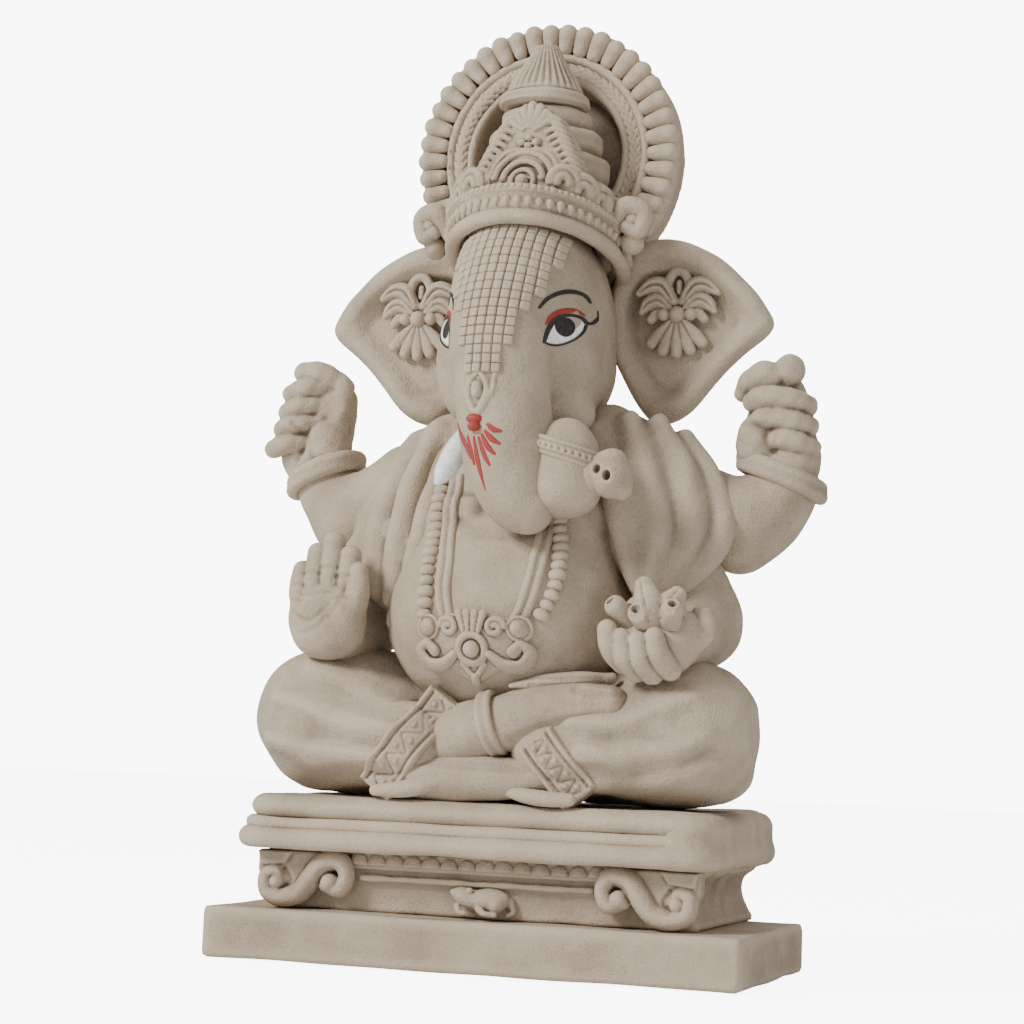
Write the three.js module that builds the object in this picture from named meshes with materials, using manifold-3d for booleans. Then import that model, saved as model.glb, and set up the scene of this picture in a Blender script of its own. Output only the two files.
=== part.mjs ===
// Seated Ganesha idol in unfired river clay: press-moulded pieces luted together with slip.
// Millimetres. +X is the viewer's right, -Y the front, +Z up.
// The origin is the middle of the plinth's underside.
import * as THREE from "three";
import { mergeVertices } from "three/addons/utils/BufferGeometryUtils.js";
import Module from "manifold-3d";

const wasm = await Module();
wasm.setup();

// ---- Driving dimensions -----------------------------------------------------------------------------

const joint = 0.35; // slip joint between pieces that touch
const facet = 0.05; // how far a facet may be off when a cut solid is made coarser

const plinth = { width: 168, depth: 86, height: 16, corner: 2, edge: 1 };
const bench = { width: 138, depth: 70, height: 18, corner: 8, inset: 2 };
const scroll = { span: 138, volute: 7.6, spread: 19, thickness: 9 };
const frieze = { width: 82, height: 5, thickness: 2.4, domes: 14 };
const rail = { width: 84, height: 1.8, thickness: 3, drop: 7 };
const mouse = { length: 20, height: 10, depth: 9 };
const seatBack = 42; // how far the seat reaches behind the middle
const tiers = [
  { name: "seat_lower_moulding", width: 151, depth: 82, height: 5.6, bow: 3.5, corner: 4 },
  { name: "seat_middle_moulding", width: 148, depth: 79, height: 4.6, bow: 4.5, corner: 5 },
  { name: "seat_cushion", width: 145, depth: 78, height: 5.8, bow: 5.5, corner: 8 },
];

const belly = { width: 77, depth: 66, height: 64, y: -9, centre: 58 };
const chest = { width: 74, depth: 54, height: 60, y: 4, centre: 95 };
const hips = { width: 92, depth: 54, height: 46, y: 8, centre: 22 };
const knee = { span: 158, thickness: 43, y: -12, height: 23 };
const shin = { thickness: 27, y: -27, height: 15 };
const foot = { length: 46, thickness: 15, height: 27 };
const anklet = { radius: 8.6, wire: 2 };
const hem = { width: 12, thickness: 3.4, lean: 0.12 };

const sash = { start: 3.4, end: 2.6 }; // radii of the sash end

const shoulder = { span: 92, radius: 17, y: 7, height: 97 };
const elbow = { span: 144, radius: 13, y: 13, height: 86 };
const wrist = { span: 149, radius: 9.6, y: 14, height: 101 };
const fist = { width: 28, height: 32, depth: 15, lift: 21 };
const bracelet = { radius: 12, wire: 2.6 };
const finger = { radius: 3.6 };

const frontElbow = { span: 118, radius: 14.5, y: 4, height: 56 };
const palm = { x: -54, y: -29, height: 57, width: 24, length: 24, depth: 9 };
const giving = { x: 51.5, y: -30, height: 48, width: 26, length: 18, depth: 20 };
const sweet = { radius: 7, rolls: 3, rollRadius: 3.2 };

const head = { width: 51, depth: 68, height: 72, y: 0, centre: 148 };
const trunk = { root: 17.5, middle: 14, low: 11.5, tip: 7.5, reach: 36 };
const curl = { x: 26, set: 2, height: 98, width: 21, length: 29, depth: 18, wire: 1.8 };
const snout = { length: 11, radius: 6.2 };
const tusk = { x: -13, set: 11, length: 19, radius: 4 };
const ear = { span: 148, top: 179, tip: 155, bottom: 120, thickness: 8, y: 13 };
const flower = { width: 25, height: 27, thickness: 2.6, x: 47, centre: 153 };
const netting = { top: 172, bottom: 129, width: 34, taper: 9, thickness: 2.2 };
const jewel = { height: 111, width: 6, thickness: 2 };
const eye = { x: 18.5, height: 142, width: 12, tall: 6, pupil: 2.6 };

const tiara = { width: 56, depth: 66, height: 12, base: 168, y: 2, tilt: 0.24 };
const crest = { width: 46, height: 46, thickness: 6, y: -15, lean: 0.3 };
const crown = { base: 22, neck: 9, height: 44, steps: 4, y: 6 };
const finial = { radius: 12, height: 17, tip: 3 };
const halo = { x: -2, radius: 43, front: 12, floor: 11, centre: 207, back: 32 };
const petals = { count: 44, inner: 34, thickness: 5, notch: 1.7 };
const ropeRing = { radius: 29.5, wire: 2 };
const sideCurl = { radius: 6.4, x: 30 };

const bead = { radius: 2.5, width: 20.5, drop: 46 };
const collar = { thickness: 2.2, half: 16, drop: 39 };
const pendant = { width: 31, height: 17, thickness: 4.5, x: 1, centre: 44, proud: 1.6, lean: 0.25 };

// ---- Levels and sides worked out from them ----------------------------------------------------------

const benchTop = plinth.height + bench.height;
const seatTop = benchTop + tiers.reduce((sum, tier) => sum + tier.height, 0);
const curlDepth = curl.set - trunk.reach;
const crownBase = tiara.base + tiara.height;
const LEFT = -1;
const RIGHT = 1;
const sides = [
  { side: LEFT, tag: "left" },
  { side: RIGHT, tag: "right" },
];

// A point of the seated figure, measured from the top of the seat.
const at = (x, y, z) => new THREE.Vector3(x, y, seatTop + z);

// ---- Finishes ---------------------------------------------------------------------------------------

const finishes = {
  clay: new THREE.MeshStandardMaterial({ color: 0xb3a48e, roughness: 0.92, metalness: 0 }),
  white_paint: new THREE.MeshStandardMaterial({ color: 0xf1efea, roughness: 0.45, metalness: 0 }),
  black_paint: new THREE.MeshStandardMaterial({ color: 0x16161a, roughness: 0.4, metalness: 0 }),
  red_paint: new THREE.MeshStandardMaterial({ color: 0xb2291d, roughness: 0.5, metalness: 0 }),
};

// ---- Solids -----------------------------------------------------------------------------------------

// A closed geometry as a solid for joining and cutting.
function solidOf(geometry) {
  const bare = geometry.index ? geometry.toNonIndexed() : geometry.clone();
  bare.deleteAttribute("normal");
  bare.deleteAttribute("uv");
  const merged = mergeVertices(bare, 1e-3);
  return new wasm.Manifold(
    new wasm.Mesh({
      numProp: 3,
      vertProperties: merged.attributes.position.array,
      triVerts: new Uint32Array(merged.index.array),
    }),
  );
}

// A solid as a geometry for a mesh.
function geometryOf(solid) {
  const { vertProperties, triVerts } = solid.getMesh();
  const geometry = new THREE.BufferGeometry();
  geometry.setAttribute("position", new THREE.BufferAttribute(new Float32Array(vertProperties), 3));
  geometry.setIndex(new THREE.BufferAttribute(new Uint32Array(triVerts), 1));
  const flat = geometry.toNonIndexed();
  flat.computeVertexNormals();
  return flat;
}

const union = (...solids) => solids.reduce((whole, next) => whole.add(next));

// The largest body of a solid: a cut can leave a crumb of clay behind it.
function mainBody(solid) {
  const bodies = solid.decompose();
  return bodies.reduce((best, body) => (body.volume() > best.volume() ? body : best));
}

// ---- Shapes. Each takes the amount to grow by, so that a neighbour can be cut with a joint all round.

// An ellipsoid, turned by Euler angles.
function ball(centre, size, grow = 0, turn = [0, 0, 0], sides = 12) {
  const geometry = new THREE.SphereGeometry(0.5, sides, Math.round(sides * 0.55));
  geometry.scale(size[0] + 2 * grow, size[1] + 2 * grow, size[2] + 2 * grow);
  geometry.applyMatrix4(new THREE.Matrix4().makeRotationFromEuler(new THREE.Euler(...turn)));
  geometry.translate(centre.x, centre.y, centre.z);
  return solidOf(geometry);
}

// A round-ended limb from one point to another, with a radius at each end.
function limb(start, end, startRadius, endRadius, grow = 0, sides = 8, turns = [0.3, 0.9]) {
  const length = start.distanceTo(end);
  const [a, b] = [startRadius + grow, endRadius + grow];
  const profile = [new THREE.Vector2(0, -a)];
  for (const turn of turns.toReversed())
    profile.push(new THREE.Vector2(a * Math.cos(turn), -a * Math.sin(turn)));
  for (const turn of turns) profile.push(new THREE.Vector2(b * Math.cos(turn), length + b * Math.sin(turn)));
  profile.push(new THREE.Vector2(0, length + b));
  const geometry = new THREE.LatheGeometry(profile, sides);
  const along = end.clone().sub(start).normalize();
  geometry.applyQuaternion(new THREE.Quaternion().setFromUnitVectors(new THREE.Vector3(0, 1, 0), along));
  geometry.translate(start.x, start.y, start.z);
  return solidOf(geometry);
}

// A short blunt limb, as a finger or a rolled sweet is.
const roll = (start, end, startRadius, endRadius, grow) =>
  limb(start, end, startRadius, endRadius, grow, 6, [0.6]);

// Limbs joined end to end through [point, radius] pairs.
function chain(knots, grow = 0, sides = 8) {
  const links = knots.slice(1).map(([end, radius], i) => {
    const [start, startRadius] = knots[i];
    return limb(start, end, startRadius, radius, grow, sides);
  });
  return union(...links);
}

// An outline extruded to a thickness, with a small bevel, lying in XY from z = 0 up.
function plateGeometry(shape, thickness, bevel = 0, grow = 0) {
  const edge = Math.max(bevel, grow);
  const geometry = new THREE.ExtrudeGeometry(shape, {
    depth: thickness + 2 * grow - 2 * edge,
    bevelEnabled: edge > 0,
    bevelThickness: edge,
    bevelSize: edge,
    bevelOffset: grow - edge,
    bevelSegments: 1,
    curveSegments: 4,
  });
  geometry.translate(0, 0, edge - grow);
  return geometry;
}

// A flat-lying plate, its underside at the given height.
function slab(shape, thickness, height, bevel = 0, grow = 0) {
  const geometry = plateGeometry(shape, thickness, bevel, grow);
  geometry.translate(0, 0, height);
  return solidOf(geometry);
}

// A standing plate, outline in XZ, its front face at the given y, leaning back by an angle about its foot.
function panel(shape, thickness, place, bevel = 0, grow = 0, lean = 0) {
  const geometry = plateGeometry(shape, thickness, bevel, grow);
  geometry.rotateX(Math.PI / 2);
  geometry.translate(0, thickness, 0);
  geometry.rotateX(-lean);
  geometry.translate(place.x, place.y, place.z);
  return solidOf(geometry);
}

// A round tube along a curve, with flat ends.
function tube(curve, radius, steps, grow = 0, sides = 6) {
  const section = new THREE.Shape();
  for (let i = 0; i < sides; i += 1) {
    const turn = (2 * Math.PI * i) / sides;
    const point = [(radius + grow) * Math.cos(turn), (radius + grow) * Math.sin(turn)];
    if (i === 0) section.moveTo(...point);
    else section.lineTo(...point);
  }
  return solidOf(new THREE.ExtrudeGeometry(section, { steps, extrudePath: curve, bevelEnabled: false }));
}

// A ring about an axis through the given centre; the profile's points are [radius, height along the axis].
function ring(profile, centre, axis, sides = 28, oval = [1, 1]) {
  const geometry = new THREE.LatheGeometry(
    profile.map(([radius, height]) => new THREE.Vector2(radius, height)),
    sides,
  );
  geometry.scale(oval[0], 1, oval[1]);
  geometry.applyQuaternion(new THREE.Quaternion().setFromUnitVectors(new THREE.Vector3(0, 1, 0), axis));
  geometry.translate(centre.x, centre.y, centre.z);
  return solidOf(geometry);
}

// The profile of a round wire bent to a ring, counter-clockwise and closed on itself.
function wireProfile(radius, wire, grow, sides = 5) {
  const points = [];
  for (let i = 0; i <= sides; i += 1) {
    const turn = (2 * Math.PI * (i % sides)) / sides;
    points.push([radius + (wire + grow) * Math.cos(turn), (wire + grow) * Math.sin(turn)]);
  }
  return points;
}

const UP = new THREE.Vector3(0, 0, 1);
const BACK = new THREE.Vector3(0, 1, 0);

// ---- Outlines ---------------------------------------------------------------------------------------

// A rectangle with round corners whose front edge bows forward; its back edge lies at y = back.
function seatOutline(width, depth, corner, bow, back) {
  const [half, front] = [width / 2, back - depth];
  const shape = new THREE.Shape();
  shape.moveTo(-half, back - corner);
  shape.lineTo(-half, front + corner);
  shape.quadraticCurveTo(-half, front, -half + corner, front - bow * 0.2);
  shape.quadraticCurveTo(0, front - 2 * bow, half - corner, front - bow * 0.2);
  shape.quadraticCurveTo(half, front, half, front + corner);
  shape.lineTo(half, back - corner);
  shape.quadraticCurveTo(half, back, half - corner, back);
  shape.lineTo(-half + corner, back);
  shape.quadraticCurveTo(-half, back, -half, back - corner);
  return shape;
}

// A strip whose upper edge is a row of round domes; it hangs from z = 0.
function domeOutline(width, height, count) {
  const pitch = width / count;
  const valley = -height * 0.75;
  const shape = new THREE.Shape();
  shape.moveTo(-width / 2, -height);
  shape.lineTo(-width / 2, valley);
  for (let i = 0; i < count; i += 1) {
    const x = -width / 2 + pitch * i;
    shape.lineTo(x + pitch * 0.2, -height * 0.2);
    shape.lineTo(x + pitch * 0.5, 0);
    shape.lineTo(x + pitch * 0.8, -height * 0.2);
    shape.lineTo(x + pitch, valley);
  }
  shape.lineTo(width / 2, -height);
  return shape;
}

// The fan of an ear for one side, in XZ about x = 0 and z = the seat top.
function earOutline(side) {
  const reach = ear.span / 2;
  const root = head.width / 2 - 6;
  const middle = (root + reach) / 2;
  const points = [
    [root, ear.top - 6],
    [middle, ear.top],
    [middle + (reach - middle) * 0.55, ear.top - (ear.top - ear.tip) * 0.45],
    [reach, ear.tip],
    [reach - 10, ear.tip - 12],
    [middle + 2, ear.bottom + 16],
    [middle - 10, ear.bottom],
    [root, ear.bottom + 8],
  ];
  const ordered = side === RIGHT ? points.reverse() : points;
  return new THREE.Shape(ordered.map(([x, z]) => new THREE.Vector2(side * x, z)));
}

// The pointed crest of the crown: a cusped triangle on a straight foot.
function crestOutline() {
  const half = crest.width / 2;
  const edge = [
    [half, 0],
    [half * 1.02, crest.height * 0.16],
    [half * 0.7, crest.height * 0.28],
    [half * 0.66, crest.height * 0.48],
    [half * 0.44, crest.height * 0.58],
    [half * 0.3, crest.height * 0.82],
  ];
  const mirrored = edge.map(([x, z]) => [-x, z]).reverse();
  return new THREE.Shape([...edge, [0, crest.height], ...mirrored].map(([x, z]) => new THREE.Vector2(x, z)));
}

// A disc whose rim is cut into petals, with a round hole in it.
function petalOutline(radius, inner) {
  const shape = new THREE.Shape();
  for (let i = 0; i < 2 * petals.count; i += 1) {
    const turn = (Math.PI * i) / petals.count;
    const reach = i % 2 === 0 ? radius : radius - petals.notch;
    const point = [reach * Math.cos(turn), reach * Math.sin(turn)];
    if (i === 0) shape.moveTo(...point);
    else shape.lineTo(...point);
  }
  const hole = new THREE.Path();
  hole.absarc(0, 0, inner, 0, 2 * Math.PI, true);
  shape.holes.push(hole);
  return shape;
}

// An ellipse with its middle at the origin.
function ovalOutline(width, height) {
  const shape = new THREE.Shape();
  shape.absellipse(0, 0, width / 2, height / 2, 0, 2 * Math.PI);
  return shape;
}

// ---- Seat -------------------------------------------------------------------------------------------

const benchBack = seatBack - bench.inset;
const benchFront = benchBack - bench.depth;

function seatPieces() {
  const outline = seatOutline(plinth.width, plinth.depth, plinth.corner, 0, plinth.depth / 2);
  const pieces = [
    piece("plinth", "clay", (grow) => slab(outline, plinth.height, 0, plinth.edge, grow)),
    piece("bench_body", "clay", (grow) => {
      const body = seatOutline(bench.width, bench.depth, bench.corner, 0, benchBack);
      return slab(body, bench.height, plinth.height, 0, grow);
    }),
  ];
  let level = benchTop;
  for (const tier of tiers) {
    const foot = level;
    const shape = seatOutline(tier.width, tier.depth, tier.corner, tier.bow, seatBack);
    pieces.push(piece(tier.name, "clay", (grow) => slab(shape, tier.height, foot, tier.height * 0.3, grow)));
    level += tier.height;
  }
  for (const { side, tag } of sides)
    pieces.push(piece("bench_scroll_" + tag, "clay", (grow) => scrollLeg(side, grow)));
  pieces.push(
    piece("bench_frieze", "clay", (grow) => {
      const strip = domeOutline(frieze.width, frieze.height, frieze.domes);
      const place = new THREE.Vector3(0, benchFront - frieze.thickness, benchTop);
      return panel(strip, frieze.thickness, place, 0, grow);
    }),
    piece("bench_rail", "clay", (grow) => {
      const bar = new THREE.Shape();
      bar.moveTo(-rail.width / 2, 0).lineTo(-rail.width / 2, -rail.height);
      bar.lineTo(rail.width / 2, -rail.height).lineTo(rail.width / 2, 0);
      const place = new THREE.Vector3(0, benchFront - rail.thickness, benchTop - rail.drop);
      return panel(bar, rail.thickness, place, 0, grow);
    }),
    piece("mouse", "clay", (grow) => {
      const y = benchFront - mouse.depth * 0.3;
      const body = new THREE.Vector3(0, y, plinth.height + mouse.height * 0.46);
      const nose = new THREE.Vector3(mouse.length * 0.42, y - 1, plinth.height + mouse.height * 0.36);
      const head = [mouse.length * 0.44, mouse.depth * 0.8, mouse.height * 0.7];
      return union(ball(body, [mouse.length * 0.8, mouse.depth, mouse.height], grow), ball(nose, head, grow));
    }),
  );
  return pieces;
}

// One S-scroll leg of the bench: an outer and an inner volute under a short shelf.
function scrollLeg(side, grow) {
  const outer = scroll.span / 2 - scroll.volute + 1;
  const inner = outer - scroll.spread;
  const y = benchFront - scroll.thickness / 2;
  const drum = (x, z, radius) => {
    const half = scroll.thickness / 2 + grow;
    const disc = [[0, -half], [radius + grow, -half], [radius + grow, half], [0, half]];
    return ring(disc, new THREE.Vector3(side * x, y, z), BACK, 12);
  };
  const foot = drum(outer, plinth.height + scroll.volute, scroll.volute);
  const neck = drum(inner, plinth.height + bench.height * 0.52, scroll.volute * 0.86);
  const shelf = new THREE.Shape();
  const [near, far] = [inner - 2, outer + scroll.volute * 0.6].map((x) => side * x).sort((a, b) => a - b);
  shelf.moveTo(near, 0).lineTo(near, -bench.height * 0.42);
  shelf.lineTo(far, -bench.height * 0.42).lineTo(far, 0);
  const place = new THREE.Vector3(0, y - scroll.thickness / 2, benchTop);
  return union(foot, neck, panel(shelf, scroll.thickness, place, 0, grow));
}

// ---- Body and legs ----------------------------------------------------------------------------------

function bodyPieces() {
  const pieces = [
    piece("torso", "clay", (grow) => {
      const level = [0, 0, 0];
      const bellySize = [belly.width, belly.depth, belly.height];
      const chestSize = [chest.width, chest.depth, chest.height];
      const round = ball(at(0, belly.y, belly.centre), bellySize, grow, level, 16);
      const upper = ball(at(0, chest.y, chest.centre), chestSize, grow, level, 14);
      const seat = ball(at(0, hips.y, hips.centre), [hips.width, hips.depth, hips.height], grow, level, 14);
      return union(round, upper, seat);
    }),
  ];
  for (const { side, tag } of sides)
    pieces.push(piece("leg_" + tag, "clay", (grow) => foldedLeg(side, grow)));
  pieces.push(
    piece("foot_over", "clay", (grow) => {
      const start = at(-6, -35, foot.height - 6);
      const end = at(foot.length - 8, -31, foot.height + 3);
      return limb(start, end, foot.thickness / 2, foot.thickness * 0.42, grow);
    }),
    piece("foot_under", "clay", (grow) => {
      const start = at(20, -34, 8);
      const end = at(20 - foot.length + 4, -34, 7);
      return limb(start, end, foot.thickness * 0.46, foot.thickness * 0.36, grow);
    }),
    piece("anklet", "clay", (grow) => {
      const along = new THREE.Vector3(foot.length - 2, 4, 9).normalize();
      const place = at(3, -34.4, foot.height - 3.8);
      return ring(wireProfile(anklet.radius, anklet.wire, grow), place, along, 16);
    }),
    piece("hem_band_left", "clay", (grow) => hemBand([-30, 4], [-5, 31], -39, grow)),
    piece("hem_band_right", "clay", (grow) => hemBand([30, 2], [15, 21], -40, grow)),
    piece("sash_fold", "clay", (grow) => {
      const [start, end] = [at(20, -33, 35), at(40, -27, 38)];
      return limb(start, end, sash.start, sash.end, grow, 8);
    }),
  );
  return pieces;
}

// A folded leg under the dhoti: thigh out to the knee, and shin back in to the middle.
function foldedLeg(side, grow) {
  const thick = knee.thickness / 2;
  const turn = at(side * (knee.span / 2 - thick), knee.y, knee.height);
  const hip = at(side * 26, 4, knee.height + 2);
  const bend = turn.clone().add(new THREE.Vector3(0, -2, -4));
  const ankle = at(side * 15, shin.y, shin.height - 1);
  return union(
    limb(hip, turn, thick, thick, grow, 10),
    limb(bend, ankle, shin.thickness * 0.62, shin.thickness * 0.44, grow),
  );
}

// The woven border where a leg of the dhoti ends: a flat band between two points on the front.
function hemBand([x0, z0], [x1, z1], y, grow) {
  const along = new THREE.Vector2(x1 - x0, z1 - z0);
  const across = new THREE.Vector2(-along.y, along.x).setLength(hem.width / 2);
  const [start, end] = [new THREE.Vector2(x0, z0), new THREE.Vector2(x1, z1)];
  const near = [start.clone().sub(across), end.clone().sub(across)];
  const corners = [...near, end.clone().add(across), start.clone().add(across)];
  return panel(new THREE.Shape(corners), hem.thickness * 2, at(0, y, 0), 0.8, grow, hem.lean);
}

// ---- Arms and shawl ---------------------------------------------------------------------------------

function armPieces() {
  const pieces = [];
  for (const { side, tag } of sides) {
    const points = {
      shoulder: at((side * shoulder.span) / 2 - side * 6, shoulder.y, shoulder.height),
      elbow: at(side * (elbow.span / 2), elbow.y, elbow.height),
      wrist: at(side * (wrist.span / 2), wrist.y, wrist.height),
    };
    pieces.push(
      piece("raised_arm_" + tag, "clay", (grow) =>
        chain(
          [
            [points.shoulder, shoulder.radius],
            [points.elbow, elbow.radius],
            [points.wrist, wrist.radius],
          ],
          grow,
        ),
      ),
      piece("raised_hand_" + tag, "clay", (grow) => raisedHand(side, points.wrist, grow)),
      piece("bracelet_" + tag, "clay", (grow) => {
        const place = points.wrist.clone().add(new THREE.Vector3(0, 0, wrist.radius * 0.2));
        const lean = new THREE.Vector3(side * 0.12, 0, 1).normalize();
        return ring(wireProfile(bracelet.radius - bracelet.wire / 2, bracelet.wire, grow), place, lean, 14);
      }),
    );
  }
  pieces.push(...frontArmPieces());
  for (const { side, tag } of sides)
    pieces.push(
      piece("shawl_" + tag, "clay", (grow) =>
        chain(
          [
            [at(side * 25, 3, 116), 9],
            [at(side * 42, 4, 98), 18.5],
            [at(side * 43, -5, 76), 16],
            [at(side * 39, -16, 58), 9],
          ],
          grow,
        ),
      ),
    );
  return pieces;
}

// A raised fist: a palm, four rolled fingers and a thumb.
function raisedHand(side, from, grow) {
  const middle = from.clone().add(new THREE.Vector3(side * 2, 0, fist.lift));
  const solids = [ball(middle, [fist.width * 0.8, fist.depth, fist.height], grow, [0, side * 0.15, 0], 8)];
  for (let i = 0; i < 4; i += 1) {
    const height = fist.height * (0.46 - 0.2 * i);
    const start = middle.clone().add(new THREE.Vector3(-fist.width * 0.3, -fist.depth * 0.42, height));
    const end = start.clone().add(new THREE.Vector3(fist.width * 0.56, 0, -1.5));
    solids.push(roll(start, end, finger.radius, finger.radius * 0.85, grow));
  }
  const thumb = middle.clone().add(new THREE.Vector3(-side * 2, -1, fist.height * 0.6));
  solids.push(ball(thumb, [fist.width * 0.62, 10, 8], grow, [0, 0, 0], 8));
  return union(...solids);
}

function frontArmPieces() {
  const arm = (side, hand, reach) => (grow) => {
    const shoulderPoint = at((side * shoulder.span) / 2 - side * 8, 0, shoulder.height - 16);
    const elbowPoint = at(side * (frontElbow.span / 2 - 4), frontElbow.y, frontElbow.height);
    const wristPoint = hand.clone().lerp(elbowPoint, reach);
    const knots = [
      [shoulderPoint, frontElbow.radius],
      [elbowPoint, frontElbow.radius],
      [wristPoint, frontElbow.radius * 0.68],
    ];
    return chain(knots, grow);
  };
  const blessing = at(palm.x, palm.y, palm.height);
  const heel = blessing.clone().add(new THREE.Vector3(3, 4, -8));
  const offering = at(giving.x, giving.y, giving.height);
  return [
    piece("blessing_arm", "clay", arm(LEFT, heel, 0.3)),
    piece("blessing_hand", "clay", (grow) => openHand(blessing, grow)),
    piece("offering_arm", "clay", arm(RIGHT, offering, 0.42)),
    piece("offering_hand", "clay", (grow) => {
      const cup = ball(offering, [giving.width, giving.depth, giving.length * 1.2], grow, [0.3, 0, 0], 10);
      const solids = [cup];
      for (let i = 0; i < 4; i += 1) {
        const start = offering.clone().add(new THREE.Vector3(-9 + i * 5, -8, -6));
        const end = start.clone().add(new THREE.Vector3(-3, -3, 8));
        solids.push(roll(start, end, finger.radius, finger.radius * 0.9, grow));
      }
      return union(...solids);
    }),
    piece("sweets", "clay", (grow) => {
      const heap = offering.clone().add(new THREE.Vector3(0, -2, giving.length * 0.62));
      const size = [sweet.radius * 2.6, sweet.radius * 2, sweet.radius * 1.9];
      const solids = [ball(heap, size, grow, [0, 0, 0], 8)];
      for (let i = 0; i < sweet.rolls; i += 1) {
        const foot = heap.clone().add(new THREE.Vector3(-7 + i * 7, -1, 0));
        const tip = foot.clone().add(new THREE.Vector3(-2 + i * 2, -2, sweet.radius * 1.1));
        solids.push(roll(foot, tip, sweet.rollRadius, sweet.rollRadius * 0.8, grow));
      }
      return union(...solids);
    }),
  ];
}

// The open palm of the blessing hand, its fingers together and its thumb beside them.
function openHand(middle, grow) {
  const heel = middle.clone().add(new THREE.Vector3(0, 0, -5));
  const solids = [ball(heel, [palm.width, palm.depth * 1.3, palm.length], grow, [0.1, 0, 0], 10)];
  for (let i = 0; i < 4; i += 1) {
    const start = middle.clone().add(new THREE.Vector3(-8.4 + i * 5.6, 0, 0));
    const end = start.clone().add(new THREE.Vector3(0, 1, palm.length * (i === 0 ? 0.5 : 0.72)));
    solids.push(roll(start, end, finger.radius, finger.radius * 0.9, grow));
  }
  const thumb = middle.clone().add(new THREE.Vector3(palm.width * 0.48, 2, -4));
  const thumbTip = thumb.clone().add(new THREE.Vector3(1, 0, 12));
  solids.push(roll(thumb, thumbTip, finger.radius, finger.radius, grow));
  return union(...solids);
}

// ---- Head -------------------------------------------------------------------------------------------

function headPieces() {
  const skull = [at(0.5, head.y, head.centre), [head.width, head.depth, head.height]];
  const pieces = [
    piece("head", "clay", (grow) => ball(...skull, grow, [0, 0, 0], 16)),
    piece("trunk", "clay", (grow) =>
      chain(
        [
          [at(0.5, -trunk.reach * 0.45, head.centre - 6), trunk.root + 2],
          [at(0.5, -trunk.reach * 0.85, head.centre - 24), trunk.root],
          [at(2, -trunk.reach, head.centre - 42), trunk.middle],
          [at(6, -trunk.reach, head.centre - 54), trunk.low],
          [at(12, -trunk.reach - 1, head.centre - 61), trunk.tip],
        ],
        grow,
        10,
      ),
    ),
    piece("trunk_curl", "clay", (grow) =>
      ball(at(curl.x, curlDepth, curl.height), [curl.width, curl.depth, curl.length], grow),
    ),
    piece("trunk_band", "clay", (grow) => {
      const oval = [curl.width / 2 - 0.6, curl.depth / 2 - 0.6];
      const place = at(curl.x, curlDepth, curl.height + curl.length * 0.22);
      return ring(wireProfile(oval[0], curl.wire, grow), place, UP, 14, [1, oval[1] / oval[0]]);
    }),
    piece("trunk_tip", "clay", (grow) => {
      const start = at(curl.x + curl.width * 0.3, curlDepth, curl.height + 1);
      const end = at(curl.x + curl.width / 2 + snout.length - snout.radius, curlDepth - 1, curl.height);
      return limb(start, end, snout.radius, snout.radius, grow);
    }),
    piece("tusk", "white_paint", (grow) => {
      const root = at(tusk.x + 1, tusk.set - trunk.reach, head.centre - 37);
      const tip = at(tusk.x - 1.5, -trunk.reach - 1, head.centre - 37 - tusk.length * 0.9);
      return limb(root, tip, tusk.radius, tusk.radius * 0.6, grow, 8);
    }),
  ];
  for (const { side, tag } of sides)
    pieces.push(
      piece("ear_" + tag, "clay", (grow) =>
        panel(earOutline(side), ear.thickness, at(0, ear.y, 0), 1.6, grow),
      ),
      piece("ear_flower_" + tag, "clay", (grow) => {
        const oval = ovalOutline(flower.width, flower.height);
        const place = at(side * flower.x, ear.y - flower.thickness, flower.centre);
        return panel(oval, flower.thickness * 2, place, 0.6, grow);
      }),
      piece("eye_" + tag, "white_paint", (grow) =>
        ball(eyePoint(side), [eye.width, 2.4, eye.tall], grow, [0.1, side * 0.2, side * 0.75], 10),
      ),
      piece("pupil_" + tag, "black_paint", (grow) => {
        const forward = eyePoint(side).add(new THREE.Vector3(side * 0.9, -1, 0));
        return ball(forward, [eye.pupil * 2, 2.4, eye.pupil * 2], grow, [0, 0, side * 0.75], 8);
      }),
    );
  pieces.push(
    piece("forehead_netting", "clay", (grow) => {
      const rise = netting.top - netting.bottom;
      const shape = new THREE.Shape();
      shape.moveTo(-netting.taper / 2, 0).lineTo(netting.taper / 2, 0);
      shape.lineTo(netting.width / 2, rise).lineTo(-netting.width / 2, rise);
      const foot = at(0.5, -trunk.reach - 11.4, netting.bottom);
      return panel(shape, netting.thickness * 3.4, foot, 0, grow, 0.36);
    }),
    piece("forehead_jewel", "red_paint", (grow) => {
      const front = -trunk.reach - trunk.middle;
      const size = [jewel.width, jewel.thickness * 2.6, jewel.width];
      return ball(at(1, front - 0.6, jewel.height), size, grow, [0, 0, 0], 10);
    }),
  );
  return pieces;
}

// The middle of an eye, on the side of the face.
function eyePoint(side) {
  const across = eye.x / (head.width / 2);
  const up = (eye.height - head.centre) / (head.height / 2);
  const forward = Math.sqrt(Math.max(0, 1 - across * across - up * up)) * (head.depth / 2);
  return at(0.5 + side * eye.x, head.y - forward, eye.height);
}

// ---- Crown and halo ---------------------------------------------------------------------------------

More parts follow.
